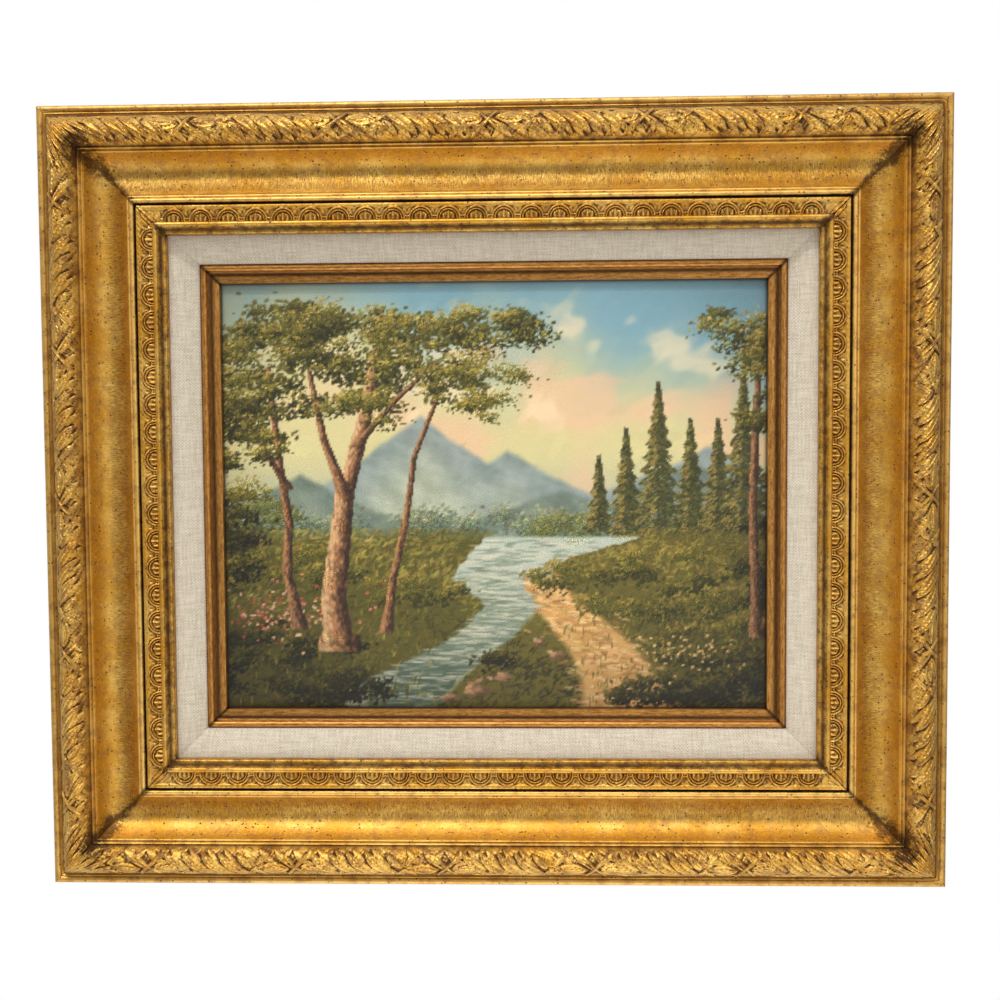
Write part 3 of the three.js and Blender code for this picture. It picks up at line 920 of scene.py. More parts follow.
@dataclass
class LeafBand:
    """The carving on the torus: a bud, two crossing ribbons, a looped leaf and a spray of lance leaves."""

    repeat: float = 64.5
    crossing: float = 18.5
    shifts: dict[Side, float] = field(
        default_factory=lambda: {Side.BOTTOM: -21.0, Side.RIGHT: 0.0, Side.TOP: 0.0, Side.LEFT: 2.0}
    )
    figures: tuple[Lance | Ribbon, ...] = (
        Lance((2.8, 4.4), (15.4, 4.4), 5.8, 0.0, 2.0, 0.75),
        Lance((5.2, 4.4), (13.4, 4.4), 2.5, 0.0, 1.9),
        Ribbon((13.2, 10.2), (23.4, 0.9), 1.5, 1.7),
        Ribbon((14.0, 0.9), (23.8, 10.4), 1.6, 2.1),
        Ribbon((12.2, 8.2), (17.8, 4.6), 1.2, 1.2),
        Ribbon((19.0, 5.4), (24.6, 9.6), 1.1, 1.3),
        Lance((20.4, 4.6), (35.2, 4.4), 6.6, 0.3, 1.9, 0.8),
        Lance((22.8, 4.6), (33.0, 4.3), 3.0, 0.2, 2.0),
    )
    spray: int = 4
    spray_start: float = 39.5
    spray_step: float = 7.7
    long_filling: tuple[Pair, ...] = ((9.0, 1.2), (16.5, 8.0), (25.5, 16.8), (31.0, 23.6), (36.5, 27.5))
    short_filling: tuple[Pair, ...] = ((12.0, 17.5), (21.0, 28.5), (29.0, 35.5))
    wrapped: tuple[tuple[Pair, Pair, float], ...] = (
        ((63.6, 5.2), (56.6, 10.8), 3.0), ((66.2, 5.0), (60.5, 1.2), 2.6), ((1.0, 6.2), (6.8, 10.8), 2.8),
        ((0.4, 3.4), (5.4, 0.8), 2.2),
    )
    eyes: tuple[tuple[float, float, float], ...] = (
        (3.4, 4.4, 1.3), (0.0, 8.4, 1.1), (18.4, 2.2, 0.9), (18.6, 8.0, 0.9), (36.6, 3.6, 1.1),
    )
    eye_depth: float = 1.1
    corner: float = 12.0
    corner_leaves: tuple[Lance, ...] = (
        Lance((-0.3, 0.8), (1.6, 13.0), 4.4, -0.6, 1.8),
        Lance((2.0, 0.9), (7.6, 11.6), 3.8, -0.7, 2.0),
        Lance((4.8, 0.9), (13.6, 9.4), 3.8, -0.8, 1.9),
        Lance((9.0, 0.9), (17.5, 5.6), 3.2, -0.5, 1.7),
    )

    def fillings(self) -> list[Lance]:
        """The small leaves of one repeat, round the figures and across its ends."""
        leaves = [Lance((foot, 7.2), (tip, 12.6), 2.7, 0.8, 1.35) for foot, tip in self.long_filling]
        leaves += [Lance((foot, 8.6), (tip, 12.2), 2.1, -0.5, 1.2) for foot, tip in self.short_filling]
        for base, tip, width in self.wrapped:
            for wrap in (0.0, self.repeat):
                leaves.append(Lance((base[0] - wrap, base[1]), (tip[0] - wrap, tip[1]), width, 0.3, 1.7))
        return leaves

    def repeated(self, x: Array, w: Array) -> Array:
        """Relief of one repeat.

        Args:
            x: Places along it, from 0 to its length.
            w: Places across the torus.

        Returns:
            The height at each place.
        """
        parts = [figure.relief(x, w) for figure in (*self.figures, *self.fillings())]
        for i in range(self.spray):
            foot = self.spray_start + i * self.spray_step
            leaf = Lance((foot, 1.6), (foot - 14.5, 11.2), 4.6, 1.0, 2.2).relief(x, w)
            parts.append(np.where(leaf > 0.0, leaf + 0.05 * i, 0.0))
            parts.append(Lance((foot - 3.0, 5.4), (foot - 12.0, 12.8), 2.6, 0.8, 1.3).relief(x, w))
        stem = 1.3 + 0.35 * np.sin(x / 3.1)
        parts.append(ridge(w - stem, 0.8) * smoothstep(x, 27.0, 31.0))
        relief = np.maximum.reduce(parts)
        for eye_x, eye_w, size in self.eyes:
            relief = relief - self.eye_depth * ridge(np.hypot(x - eye_x, (w - eye_w) * 0.8), size)
        return relief

    def relief(self, side: Side, s: Array, w: Array, end: Array) -> Array:
        """How far the carving stands above the torus.

        Args:
            side: The rail.
            s: Places along it.
            w: Places across the torus, from its outer edge.
            end: Where the mitre is at each place.

        Returns:
            The height at each place.
        """
        phase = 1.7 * side.value
        x = s - self.shifts[side] + self.crossing
        x = x + 0.55 * np.sin(s / 15.3 + phase) + 0.3 * np.sin(s / 4.1 + w / 3.0 + phase)
        across = 0.9 * w + 0.25 * np.sin(s / 6.7 + phase)
        distance = end - np.abs(s)
        pattern = self.repeated(np.mod(x, self.repeat), across)
        pattern = pattern * smoothstep(distance, self.corner, self.corner + 3.0)
        carved = np.maximum.reduce([pattern, *(leaf.relief(distance, across) for leaf in self.corner_leaves)])
        warp = 0.9 * np.sin(0.43 * s + phase) + 0.6 * np.sin(0.9 * w - 0.21 * s)
        strands = 1.0 - np.abs(np.sin(1.05 * s + 1.75 * w + warp)) ** 0.8
        strands = 0.55 * strands + 0.3 * (1.0 - np.abs(np.sin(1.7 * s - 1.1 * w - warp)))
        pecked = 0.12 * np.sin(4.1 * s + 1.3 * w) * np.sin(3.7 * w - 0.9 * s)
        ground = (0.55 * strands + pecked) * smoothstep(w, 13.6, 12.4)
        carved = carved + ground * smoothstep(carved, 0.9, 0.2)
        return carved * within(w, (0.1, 1.0), (13.9, 12.9))


@dataclass
class ArchBand:
    """The row of small double arches beside the groove, each with three upright tongues."""

    pitch: float = 11.7
    centre: float = 50.1
    rib: float = 4.75
    inner_rib: float = 3.7
    strokes: tuple[float, ...] = (-1.9, 0.0, 1.9)
    corner_leaf: Lance = Lance((0.2, 44.6), (1.2, 51.0), 3.0, 0.0, 1.4)

    def relief(self, s: Array, u: Array, end: float) -> Array:
        """How far the arches stand above their ground.

        Args:
            s: Places along the rail.
            u: Distances inwards from the frame's outer edge.
            end: Where the mitre is at the arches' centres.

        Returns:
            The height at each place.
        """
        half = math.floor(2.0 * end / self.pitch) * self.pitch / 2.0
        p = np.mod(s + half, self.pitch) - self.pitch / 2.0
        inside = smoothstep(half - np.abs(s), -0.4, 0.2)
        rise = self.centre - u
        radius = np.hypot(p, rise)
        arches = 1.3 * ridge(radius - self.rib, 0.5) + 1.15 * ridge(radius - self.inner_rib, 0.4)
        arches = np.maximum(arches, 0.4 * smoothstep(radius, 3.1, 2.7))
        for place in self.strokes:
            tongue = ridge(p - place * (1.0 + 0.10 * rise), 0.62) * smoothstep(radius, 3.15, 2.7)
            arches = np.maximum(arches, 1.3 * tongue)
        beside = np.abs(p) - self.pitch / 2.0
        curl = ridge(np.hypot(beside + 0.6, 0.3 - rise) - 0.65, 0.4)
        pit = np.clip(1.0 - np.abs(beside) / 0.9, 0.0, 1.0) * within(u, (45.6, 46.4), (48.6, 47.0))
        scallop = np.abs(np.sin(4.0 * math.pi * p / self.pitch)) * smoothstep(u, 49.8, 50.3)
        carved = np.maximum.reduce([arches * smoothstep(rise, -1.2, -0.4), curl, 0.35 * scallop]) - 0.45 * pit
        leaf = self.corner_leaf.relief(end + rise - np.abs(s), u)
        return carved * inside + leaf * (1.0 - inside)


@dataclass
class CarvedFrame:
    """The wide gilt frame: an edge bead, a carved torus, a cove, a groove and a band of arches."""

    setting: Setting
    leaves: LeafBand = field(default_factory=LeafBand)
    arches: ArchBand = field(default_factory=ArchBand)
    columns: int = 96
    leaf_share: int = 11
    arch_share: int = 9
    edge: tuple[tuple[float, ...], ...] = (
        (0.0, 34.3), (0.2, 35.0), (0.7, 35.6), (1.4, 35.85), (2.2, 35.7), (2.7, 35.35), (2.95, 35.0, 0.3),
        (3.15, 35.2), (3.45, 35.3), (3.75, 35.1), (4.05, 34.9, 0.2),
    )
    torus: Pair = (4.4, 18.4)
    torus_h: Pair = (35.0, 39.0)
    torus_rise: float = 6.6
    torus_step: float = 0.35
    crest_lines: int = 12
    crest_step: float = 0.25
    cove: Pair = (21.4, 38.8)
    cove_h: Pair = (38.8, 36.6)
    cove_depth: float = 5.6
    cove_lines: int = 27
    groove: Pair = (42.4, 43.3)
    groove_h: float = 35.4
    band_h: float = 38.7
    band: Pair = (43.6, 50.8)
    band_step: float = 0.3
    # the third values are recess that paints shade on the underside of the sight ridge
    sight: tuple[tuple[float, ...], ...] = (
        (52.9, 39.1, 0.15), (53.2, 38.2, 0.3), (53.45, 37.4, 0.4), (53.7, 36.8, 0.45), (54.2, 36.65, 0.25),
        (54.6, 36.75), (55.1, 36.6), (55.4, 36.2),
    )
    sight_u: float = 55.4
    lip_h: float = 32.5
    rebate_u: float = 49.0
    side_step: float = 1.2
    side_step_h: float = 31.0
    back_inset: float = 3.5

    def torus_height(self, w: Array) -> Array:
        """The torus without its carving.

        Args:
            w: Places across it, from its outer edge.

        Returns:
            Its height at each place.
        """
        v = w / (self.torus[1] - self.torus[0])
        low, high = self.torus_h
        return low + (high - low) * v + self.torus_rise * np.sin(math.pi * np.clip(v, 0.0, 1.0)) ** 0.8

    def stain(self, distance: Array, u: Array) -> Array:
        """How dark the frame is made: toning at its corners, leaves, mitres and groove, and painted shade on
        the sight ridge.

        Args:
            distance: Distances to the mitre.
            u: Distances inwards from the frame's outer edge.

        Returns:
            The darkening at each place, from 0 to 1.
        """
        corner = 0.8 * np.exp(-((distance / 7.5) ** 2)) * within(u, (16.0, 20.0), (33.0, 25.0))
        leaves = (0.28 + 0.45 * np.exp(-((distance / 11.0) ** 2))) * within(u, (11.0, 16.5), (19.0, 18.2))
        mitre = 0.9 * smoothstep(distance, 0.55, 0.1) * smoothstep(u, 19.0, 24.0)
        groove = within(u, (42.0, 42.5), (43.7, 43.3))
        # painted shade: the sight ridge and its underside are darkened on every side, as the shaded top ridge
        # is
        sight = 0.38 * smoothstep(u, 51.7, 52.6) + 0.26 * within(u, (52.9, 53.2), (53.7, 53.4))
        skirt = 0.5 * smoothstep(u, 0.2, 0.0)
        return np.clip(corner + leaves + mitre + groove + sight + skirt, 0.0, 1.0)

    def add_torus(self, rail: MitredRail) -> None:
        """Adds the torus with its leaves.

        Args:
            rail: The rail in the making.
        """
        start, stop = self.torus
        us = np.linspace(start, stop, round((stop - start) / self.torus_step) + 1)
        s, u = rail.grid(us, self.columns * self.leaf_share)
        ends = np.array([rail.end(value) for value in us])[:, None]
        w = u - start
        grain = 0.05 * np.sin(s * 2.3 + w) * np.sin(w * 2.9 + s * 0.37)
        height = self.torus_height(w) + self.leaves.relief(rail.side, s, w, ends) + grain
        height[0], height[-1] = self.torus_h
        height = np.minimum(height, self.setting.front - 0.02)
        recess = np.clip((blurred(height, 3) - height) / 0.55, -1.0, 1.0)
        rail.add_grid(us, height, recess * (1.0 - 0.65 * smoothstep(w, 12.6, 13.4)))

    def add_arches(self, rail: MitredRail) -> None:
        """Adds the band of arches, from the strip beside the groove to the smooth ridge.

        Args:
            rail: The rail in the making.
        """
        start, stop = self.band
        us = np.linspace(start, stop, round((stop - start) / self.band_step) + 1)
        s, u = rail.grid(us, self.columns * self.arch_share)
        strip = 0.5 * smoothstep(u, 45.6, 44.9)
        relief = self.arches.relief(s, u, rail.end(self.arches.centre))
        grain = 0.09 * np.sin(s * 3.1 + 2.0 * u) * np.sin(u * 4.3 + s * 0.5)
        height = self.band_h + strip + relief * within(u, (44.9, 45.4), (50.8, 50.4)) + grain
        height[0], height[-1] = self.band_h + 0.4, self.band_h + 0.3
        recess = np.clip((blurred(height, 2) - height) / 0.66, -1.0, 1.0)
        rail.add_grid(us, height, recess + 0.12 * smoothstep(u, 49.6, 50.4))

    def add_crest(self, rail: MitredRail) -> None:
        """Adds the two fine lines between the torus and the cove.

        Args:
            rail: The rail in the making.
        """
        for i in range(1, self.crest_lines):
            # the recess paints shade in the dip between the two lines and highlights on their crests
            crest = 0.4 - 0.4 * math.cos(i * math.pi / 3.0)
            height = self.torus_h[1] + crest - 0.035 * i
            rail.add_line(self.torus[1] + i * self.crest_step, height, recess=0.35 - 1.4 * crest)

    def add_cove(self, rail: MitredRail) -> None:
        """Adds the wide hollow, deepest towards its outer side.

        Args:
            rail: The rail in the making.
        """
        (start, stop), (first, last) = self.cove, self.cove_h
        for t in np.linspace(0.0, 1.0, self.cove_lines).tolist():
            hollow = self.cove_depth * math.sin(math.pi * t**0.9)
            rail.add_line(start + (stop - start) * t, first + (last - first) * t - hollow)

    def rail(self, side: Side) -> MitredRail:
        """Draws one rail.

        Args:
            side: Its side.

        Returns:
            The rail with all its lines.
        """
        rail = MitredRail(side, self.setting, columns=self.columns)
        rail.add_section(self.edge)
        self.add_torus(rail)
        self.add_crest(rail)
        self.add_cove(rail)
        rail.add_section(arc((39.5, self.cove_h[1]), 0.62, 150.0, 10.0, 6))
        rail.add_section(arc((41.2, 37.4), 1.1, 175.0, 5.0, 8))
        (deep, edge), low = self.groove, self.groove_h
        rail.add_section([(deep, low, 1.0), (edge - 0.1, low, 1.0), (edge, self.band_h - 0.3)])
        self.add_arches(rail)
        rail.add_section(arc((51.65, 39.2), 1.15, 165.0, 40.0, 7))
        rail.add_section(self.sight)
        rail.add_section(
            [
                (self.sight_u, self.lip_h),
                (self.rebate_u, self.lip_h),
                (self.rebate_u, 0.0),
                (self.back_inset, 0.0),
                (self.side_step, self.side_step_h),
                (0.0, self.side_step_h + self.side_step),
            ]
        )
        return rail

    def build(self, finish: bpy.types.Material) -> None:
        """Makes the four rails."""
        for side in Side:
            piece = self.rail(side).draft(f"carved_rail_{side.label}", self.stain).build([finish])
            settle(piece, f"frame_rail_{side.label}")


def settle(piece: bpy.types.Object, node: str) -> None:
    """Lets a piece ride on the body and stand for its CAD node, and reports it.

    Args:
        piece: The piece.
        node: The node of the fixed model that it replaces.
    """
    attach(piece, "root")
    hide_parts(node)
    log.info("%s: %d faces for %s", piece.name, len(piece.data.polygons), node)


# ------------------------------------------------------------------ liner and slip


@dataclass
class LinenLiner:
    """The linen-covered liner, whose face falls towards the picture in a soft curve."""

    setting: Setting
    outer_u: float = 49.3
    sight_u: float = 55.4
    inner_u: float = 67.0
    front_h: float = 32.2
    fall: float = 5.8
    curve: float = 1.8
    face_end: float = 0.97
    face_lines: int = 22
    nose_h: float = 24.0
    rebate_u: float = 63.2
    back_h: float = 5.0

    def build(self, finish: bpy.types.Material) -> None:
        """Makes the four rails."""
        edge = self.front_h - self.fall
        for side in Side:
            rail = MitredRail(side, self.setting)
            rail.add_line(self.outer_u, self.front_h)
            for t in np.linspace(0.0, self.face_end, self.face_lines).tolist():
                u = self.sight_u + (self.inner_u - self.sight_u) * t
                rail.add_line(u, self.front_h - self.fall * t**self.curve)
            rail.add_section([(self.inner_u - 0.08, edge - 0.25), (self.inner_u, edge - 0.6)])
            rail.add_section([(self.inner_u, self.nose_h), (self.rebate_u, self.nose_h)])
            rail.add_section([(self.rebate_u, self.back_h), (self.outer_u, self.back_h)])
            piece = rail.draft(f"linen_covered_rail_{side.label}").build([finish], 60.0)
            settle(piece, f"linen_liner_{side.label}")


@dataclass
class GiltSlip:
    """The narrow bronze-gilt slip that holds the canvas: a bead, a shallow hollow and a low lip."""

    setting: Setting
    outer_u: float = 63.5
    top_h: float = 23.7
    shoulder_u: float = 67.3
    bead: Pair = (68.7, 25.4)
    bead_radius: float = 1.4
    hollow_u: float = 70.2
    hollow_h: float = 24.95
    hollow_fall: float = 0.95
    hollow_lines: int = 13
    inner_u: float = 75.0
    inner_h: float = 23.9
    underside_h: float = 21.3
    rebate_u: float = 67.0
    back_h: float = 5.0

    @staticmethod
    def stain(distance: Array, _u: Array) -> Array:
        """Darker at the mitres."""
        return smoothstep(distance, 0.6, 0.1)

    def add_hollow(self, rail: MitredRail) -> None:
        """Adds the hollow, with painted shade darkest near its outer side, and the lip beside the picture.

        Args:
            rail: The rail in the making.
        """
        for t in np.linspace(0.0, 1.0, self.hollow_lines).tolist():
            fall = self.hollow_fall * (1.0 - math.exp(-7.0 * t))
            lip = 0.2 * math.sin(math.pi * max(0.0, 1.25 * t - 0.25))
            # painted shade in the hollow, darkest near its outer side
            recess = 0.6 * math.exp(-(((t - 0.22) / 0.28) ** 2))
            u = self.hollow_u + (self.inner_u - self.hollow_u) * t
            rail.add_line(u, self.hollow_h - fall + lip, recess=recess)

    def build(self, finish: bpy.types.Material) -> None:
        """Makes the four rails."""
        for side in Side:
            rail = MitredRail(side, self.setting)
            rail.add_section([(self.outer_u, self.top_h), (self.shoulder_u, self.top_h)])
            rail.add_section(arc(self.bead, self.bead_radius, 180.0, -20.0, 12))
            self.add_hollow(rail)
            rail.add_section([(self.inner_u, self.inner_h), (self.inner_u, self.underside_h)])
            rail.add_section([(self.rebate_u, self.underside_h), (self.rebate_u, self.back_h)])
            rail.add_line(self.outer_u, self.back_h)
            piece = rail.draft(f"slip_moulding_{side.label}", self.stain).build([finish], 50.0)
            settle(piece, f"gilt_slip_{side.label}")


# ------------------------------------------------------------------ the painting

Tones = tuple[Colour, ...]
Mass = tuple[float, float, float, float, int]


@dataclass(frozen=True)
class Brush:
    """How strokes of one kind are laid.

    Their length lies between two values, and their angle in radians has a mean and a spread. Their colour
    varies by tint, they cover as well as load, from 0 to 1, and rise is how thick their paint is.
    """

    length: Pair
    width: float
    angle: Pair
    tint: float
    load: float
    rise: float


@dataclass(frozen=True)
class CloudBank:
    """Lit cloud about a place given as shares of the width and height, each with how fast it thins out."""

    scale: float
    seed: int
    extent: float
    across: Pair
    up: Pair
    share: float
    tone: Colour


@dataclass(frozen=True)
class HillRange:
    """A range of hills: its base line, its peaks by place, rise and spread, and its colours."""

    base: float
    peaks: tuple[tuple[float, float, float], ...]
    top: Colour
    foot: Colour
    seed: int


@dataclass(frozen=True)
class Limb:
    """A trunk or bough: places along it, its widths at foot and end, and its first tone of bark."""

    points: tuple[Pair, ...]
    start: float
    stop: float
    bark: int = 1


@dataclass
class Landscape:
    """A made-up country view: far peaks in haze, a winding stream, tall trees on the left, firs on the right.

    Places are millimetres from the lower left of what shows. Colours are display colours from 0 to 1, and
    those of leaves run from dark to light, those of bark from light to dark. A mass of leaves is its middle
    across and up, half its width and height, and its number of tufts.
    """

    width: float
    height: float
    columns: int
    rows: int
    seed: int = 41
    colour: Array = field(init=False)
    relief: Array = field(init=False)
    leafage: Array = field(init=False)
    x: Array = field(init=False)
    z: Array = field(init=False)
    rng: np.random.Generator = field(init=False)
    blue: Colour = (0.47, 0.67, 0.79)
    glow: Colour = (0.82, 0.83, 0.65)
    haze: Colour = (0.60, 0.70, 0.69)
    clouds: tuple[CloudBank, ...] = (
        CloudBank(75.0, 11, 0.9, (0.60, 1.1), (0.70, 5.0), 0.62, (0.90, 0.77, 0.68)),
        CloudBank(46.0, 23, 0.7, (0.42, 1.4), (0.80, 5.5), 0.60, (0.93, 0.90, 0.80)),
    )
    ranges: tuple[HillRange, ...] = (
        HillRange(92, ((88, 38, 62), (126, 22, 48), (214, 24, 60)), (0.5, 0.6, 0.65), (0.66, 0.73, 0.69), 5),
        HillRange(84, ((34, 20, 50), (150, 13, 46), (208, 25, 66)), (0.4, 0.49, 0.48), (0.58, 0.64, 0.56), 6),
    )
    stream_z: tuple[float, ...] = (0, 14, 30, 46, 58, 68, 76)
    stream_x: tuple[float, ...] = (66, 84, 112, 128, 116, 132, 150)
    stream_half: tuple[float, ...] = (26, 20, 13, 11, 15, 24, 34)
    stream_tones: Tones = ((0.28, 0.37, 0.33), (0.70, 0.78, 0.77))
    ripple: Brush = Brush((4.0, 11.0), 0.9, (0.0, 0.06), 0.05, 0.45, 0.03)
    ripple_tones: Tones = ((0.41, 0.50, 0.45), (0.80, 0.83, 0.78))
    bank_z: tuple[float, ...] = (0, 20, 44, 66, 80)
    left_bank: tuple[float, ...] = (56, 88, 121, 112, 120)
    right_bank: tuple[float, ...] = (92, 112, 140, 148, 186)
    bank_tones: Tones = ((0.33, 0.33, 0.13), (0.38, 0.37, 0.15))
    turf: Brush = Brush((2.0, 4.5), 1.1, (0.6, 0.6), 0.16, 0.8, 0.04)
    turf_tones: Tones = ((0.21, 0.21, 0.08), (0.50, 0.48, 0.23))
    sand: Brush = Brush((2.5, 7.0), 1.2, (-0.15, 0.25), 0.08, 0.6, 0.05)
    sand_base: Colour = (0.78, 0.65, 0.42)
    sand_tones: Tones = ((0.85, 0.72, 0.50), (0.70, 0.53, 0.32), (0.60, 0.47, 0.26), (0.90, 0.80, 0.62))
    hazy: Tones = ((0.35, 0.44, 0.40), (0.43, 0.51, 0.45), (0.54, 0.60, 0.50))
    middle: Tones = ((0.27, 0.32, 0.20), (0.36, 0.41, 0.24), (0.47, 0.50, 0.29))
    far_woods: tuple[Mass, ...] = ((18, 84, 22, 9, 14), (222, 82, 20, 12, 14), (150, 79, 14, 5, 6))
    firs: tuple[tuple[float, float, float], ...] = (
        (166, 78, 34), (178, 74, 50), (206, 70, 58), (192, 68, 76), (218, 62, 66), (229, 56, 92),
    )
    fir_stem: Colour = (0.27, 0.22, 0.14)
    fir_tones: Tones = ((0.21, 0.23, 0.12), (0.31, 0.33, 0.17))
    fir_light: Colour = (0.53, 0.50, 0.27)
    bark: Tones = ((0.80, 0.68, 0.52), (0.66, 0.50, 0.36), (0.42, 0.31, 0.21), (0.22, 0.15, 0.10))
    olive: Tones = (
        (0.15, 0.16, 0.06), (0.27, 0.28, 0.10), (0.40, 0.40, 0.15), (0.55, 0.53, 0.24), (0.66, 0.62, 0.34),
    )
    edge_tree: Limb = Limb(((235, 34), (233, 90), (236, 165)), 4.2, 2.2)
    trees: tuple[Limb, ...] = (
        Limb(((51, 28), (48.5, 50), (51.5, 74), (54, 96), (63, 128), (69, 160)), 11.5, 4.0, 0),
        Limb(((33, 38), (28, 62), (29, 84), (25, 112), (21, 150)), 4.6, 2.0),
        Limb(((72, 36), (75, 58), (81, 84), (85, 112), (97, 142)), 3.6, 1.4),
        Limb(((54, 96), (45, 120), (39, 150)), 4.6, 1.6),
        Limb(((60, 118), (78, 138), (94, 152)), 3.4, 1.4),
        Limb(((28, 100), (16, 120), (8, 136)), 2.6, 1.2, 2),
    )
    crown: tuple[Mass, ...] = (
        (22, 148, 26, 22, 22), (54, 164, 30, 18, 26), (88, 158, 26, 17, 22), (64, 136, 24, 9, 10),
        (104, 142, 18, 9, 9), (12, 116, 14, 12, 8), (120, 168, 26, 8, 16), (30, 170, 30, 9, 18),
        (6, 140, 12, 24, 16), (228, 166, 22, 9, 14), (236, 140, 8, 24, 12),
    )
    sprays: tuple[Mass, ...] = ((122, 150, 12, 8, 5), (118, 134, 9, 5, 5), (10, 94, 8, 7, 5))
    meadow: Tones = ((0.20, 0.21, 0.08), (0.31, 0.32, 0.12), (0.43, 0.42, 0.17), (0.56, 0.52, 0.25))
    meadow_bushes: tuple[Mass, ...] = (
        (196, 62, 40, 9, 20), (226, 50, 22, 12, 16), (152, 60, 18, 5, 8), (26, 62, 32, 10, 18),
        (84, 52, 22, 7, 10), (212, 32, 30, 12, 22), (186, 46, 26, 6, 9),
    )
    grass: Brush = Brush((2.5, 5.0), 0.7, (1.55, 0.3), 0.12, 0.7, 0.06)
    dark: Tones = ((0.09, 0.09, 0.04), (0.15, 0.16, 0.06), (0.25, 0.25, 0.09), (0.38, 0.36, 0.14))
    near_bushes: tuple[Mass, ...] = (
        (12, 24, 26, 16, 26), (46, 10, 26, 8, 16), (228, 14, 26, 15, 26), (196, 7, 24, 6, 14),
        (4, 74, 9, 24, 12), (236, 78, 8, 34, 14), (56, 30, 14, 5, 6), (122, 24, 8, 3, 2),
    )
    rocks: tuple[tuple[float, float, float], ...] = (
        (112, 9, 5.0), (124, 14, 4.0), (100, 5, 4.0), (140, 30, 3.0), (147, 24, 3.6),
    )
    rock_tones: Tones = ((0.36, 0.27, 0.21), (0.68, 0.55, 0.44))
    rosy_flowers: Tones = ((0.80, 0.50, 0.46), (0.72, 0.33, 0.30), (0.90, 0.74, 0.66))
    pale_flowers: Colour = (0.86, 0.76, 0.56)
    warmth: Colour = (1.06, 0.985, 0.90)

    def __post_init__(self) -> None:
        """Sets out the bare ground."""
        self.rng = np.random.default_rng(self.seed)
        across = np.linspace(0.0, self.width, self.columns + 1)
        up = np.linspace(0.0, self.height, self.rows + 1)
        self.x, self.z = np.meshgrid(across, up)
        self.colour = np.full((*self.x.shape, 3), 0.8)
        self.relief = np.zeros_like(self.x)
        self.leafage = np.zeros_like(self.x)

    def cell(self, x: float, z: float) -> tuple[int, int]:
        """The row and the column of the grid at a place."""
        return int(z / self.height * self.rows), int(x / self.width * self.columns)

    def cloud(self, scale: float, seed: int) -> Array:
        """A smooth random field.

        Args:
            scale: About how many millimetres its features are across.
            seed: The start of its own random numbers.

        Returns:
            Its value, from -1 to 1, at each point of the ground.
        """
        rng = np.random.default_rng(seed)
        total = np.zeros_like(self.x)
        for octave, weight in ((1.0, 0.55), (2.1, 0.3), (4.3, 0.15)):
            for _ in range(4):
                angle, phase = rng.uniform(0.0, 2.0 * math.pi, 2)
                wave = 2.0 * math.pi * octave / scale * rng.uniform(0.6, 1.3)
                along = self.x * math.cos(angle) + self.z * math.sin(angle)
                total += 0.5 * weight * np.sin(wave * along + phase)
        return np.clip(total * 1.3, -1.0, 1.0)

    def blend(self, mask: Array, colour: Colour | Array) -> None:
        """Lays a colour through a mask."""
        self.colour = mixed(self.colour, np.array(colour), np.clip(mask, 0.0, 1.0)[..., None])

    def dab(
        self,
        place: Pair,
        size: Pair,
        angle: float,
        colour: Array,
        load: float,
        rise: float,
    ) -> None:
        """One stroke of a brush.

        Args:
            place: Its middle across and up.
            size: Its length and its width.
            angle: Its direction in radians.
            colour: Its colour.
            load: How well it covers, from 0 to 1.
            rise: How thick its paint is, in millimetres.
        """
        (x, z), (length, width) = place, size
        reach = 0.62 * max(length, width) + 0.8
        step_x, step_z = self.width / self.columns, self.height / self.rows
        i0, i1 = max(0, int((x - reach) / step_x)), min(self.columns + 1, int((x + reach) / step_x) + 2)
        j0, j1 = max(0, int((z - reach) / step_z)), min(self.rows + 1, int((z + reach) / step_z) + 2)
        if i0 >= i1 or j0 >= j1:
            return
        dx = np.arange(i0, i1)[None, :] * step_x - x
        dz = np.arange(j0, j1)[:, None] * step_z - z
        along = (dx * math.cos(angle) + dz * math.sin(angle)) / (0.5 * length)
        across = (dz * math.cos(angle) - dx * math.sin(angle)) / (0.5 * width)
        body = np.clip(1.35 - (np.abs(along) ** 2.5 + np.abs(across) ** 2.5), 0.0, 1.0)
        self.colour[j0:j1, i0:i1] = mixed(self.colour[j0:j1, i0:i1], colour, (body * load)[..., None])
        self.relief[j0:j1, i0:i1] += rise * body * (0.6 + 0.4 * np.abs(across).clip(0.0, 1.0))

    def tinted(self, colour: Colour | Array, spread: float) -> Array:
        """A colour varied at random in lightness and a little in hue."""
        tint = 1.0 + spread * self.rng.normal() + 0.25 * spread * self.rng.normal(size=3)
        return np.clip(np.array(colour) * tint, 0.01, 0.99)

    def stroke(self, brush: Brush, x: float, z: float, tone: Colour | Array) -> None:
        """One stroke of a kind of brush at a place, of random length, direction and tint."""
        length, angle = self.rng.uniform(*brush.length), self.rng.normal(*brush.angle)
        self.dab((x, z), (length, brush.width), angle, self.tinted(tone, brush.tint), brush.load, brush.rise)

    def sky(self) -> None:
        """Blue at the upper right, falling to yellow-green light with rosy cloud."""
        h, v = self.x / self.width, self.z / self.height
        blue, glow, haze = np.array(self.blue), np.array(self.glow), np.array(self.haze)
        depth = smoothstep(v + 0.22 * (h - 0.5) + 0.05 * self.cloud(90.0, 3), 0.66, 1.02)[..., None]
        self.colour = mixed(mixed(glow, blue, depth), haze, smoothstep(v, 0.62, 0.42)[..., None])
        for bank in self.clouds:
            shape = self.cloud(bank.scale, bank.seed) + bank.extent
            for place, (middle, thinning) in ((v, bank.up), (h, bank.across)):
                shape = shape - np.abs(place - middle) * thinning
            self.blend(bank.share * smoothstep(shape, 0.25, 0.9), bank.tone)
        for _ in range(420):
            x, z = self.rng.uniform(0.0, self.width), self.rng.uniform(0.45 * self.height, self.height)
            colour = self.tinted(self.colour[self.cell(x, z)], 0.025)
            size = (self.rng.uniform(9.0, 20.0), 4.5)
            self.dab((x, z), size, self.rng.normal(0.35, 0.5), colour, 0.35, 0.02)

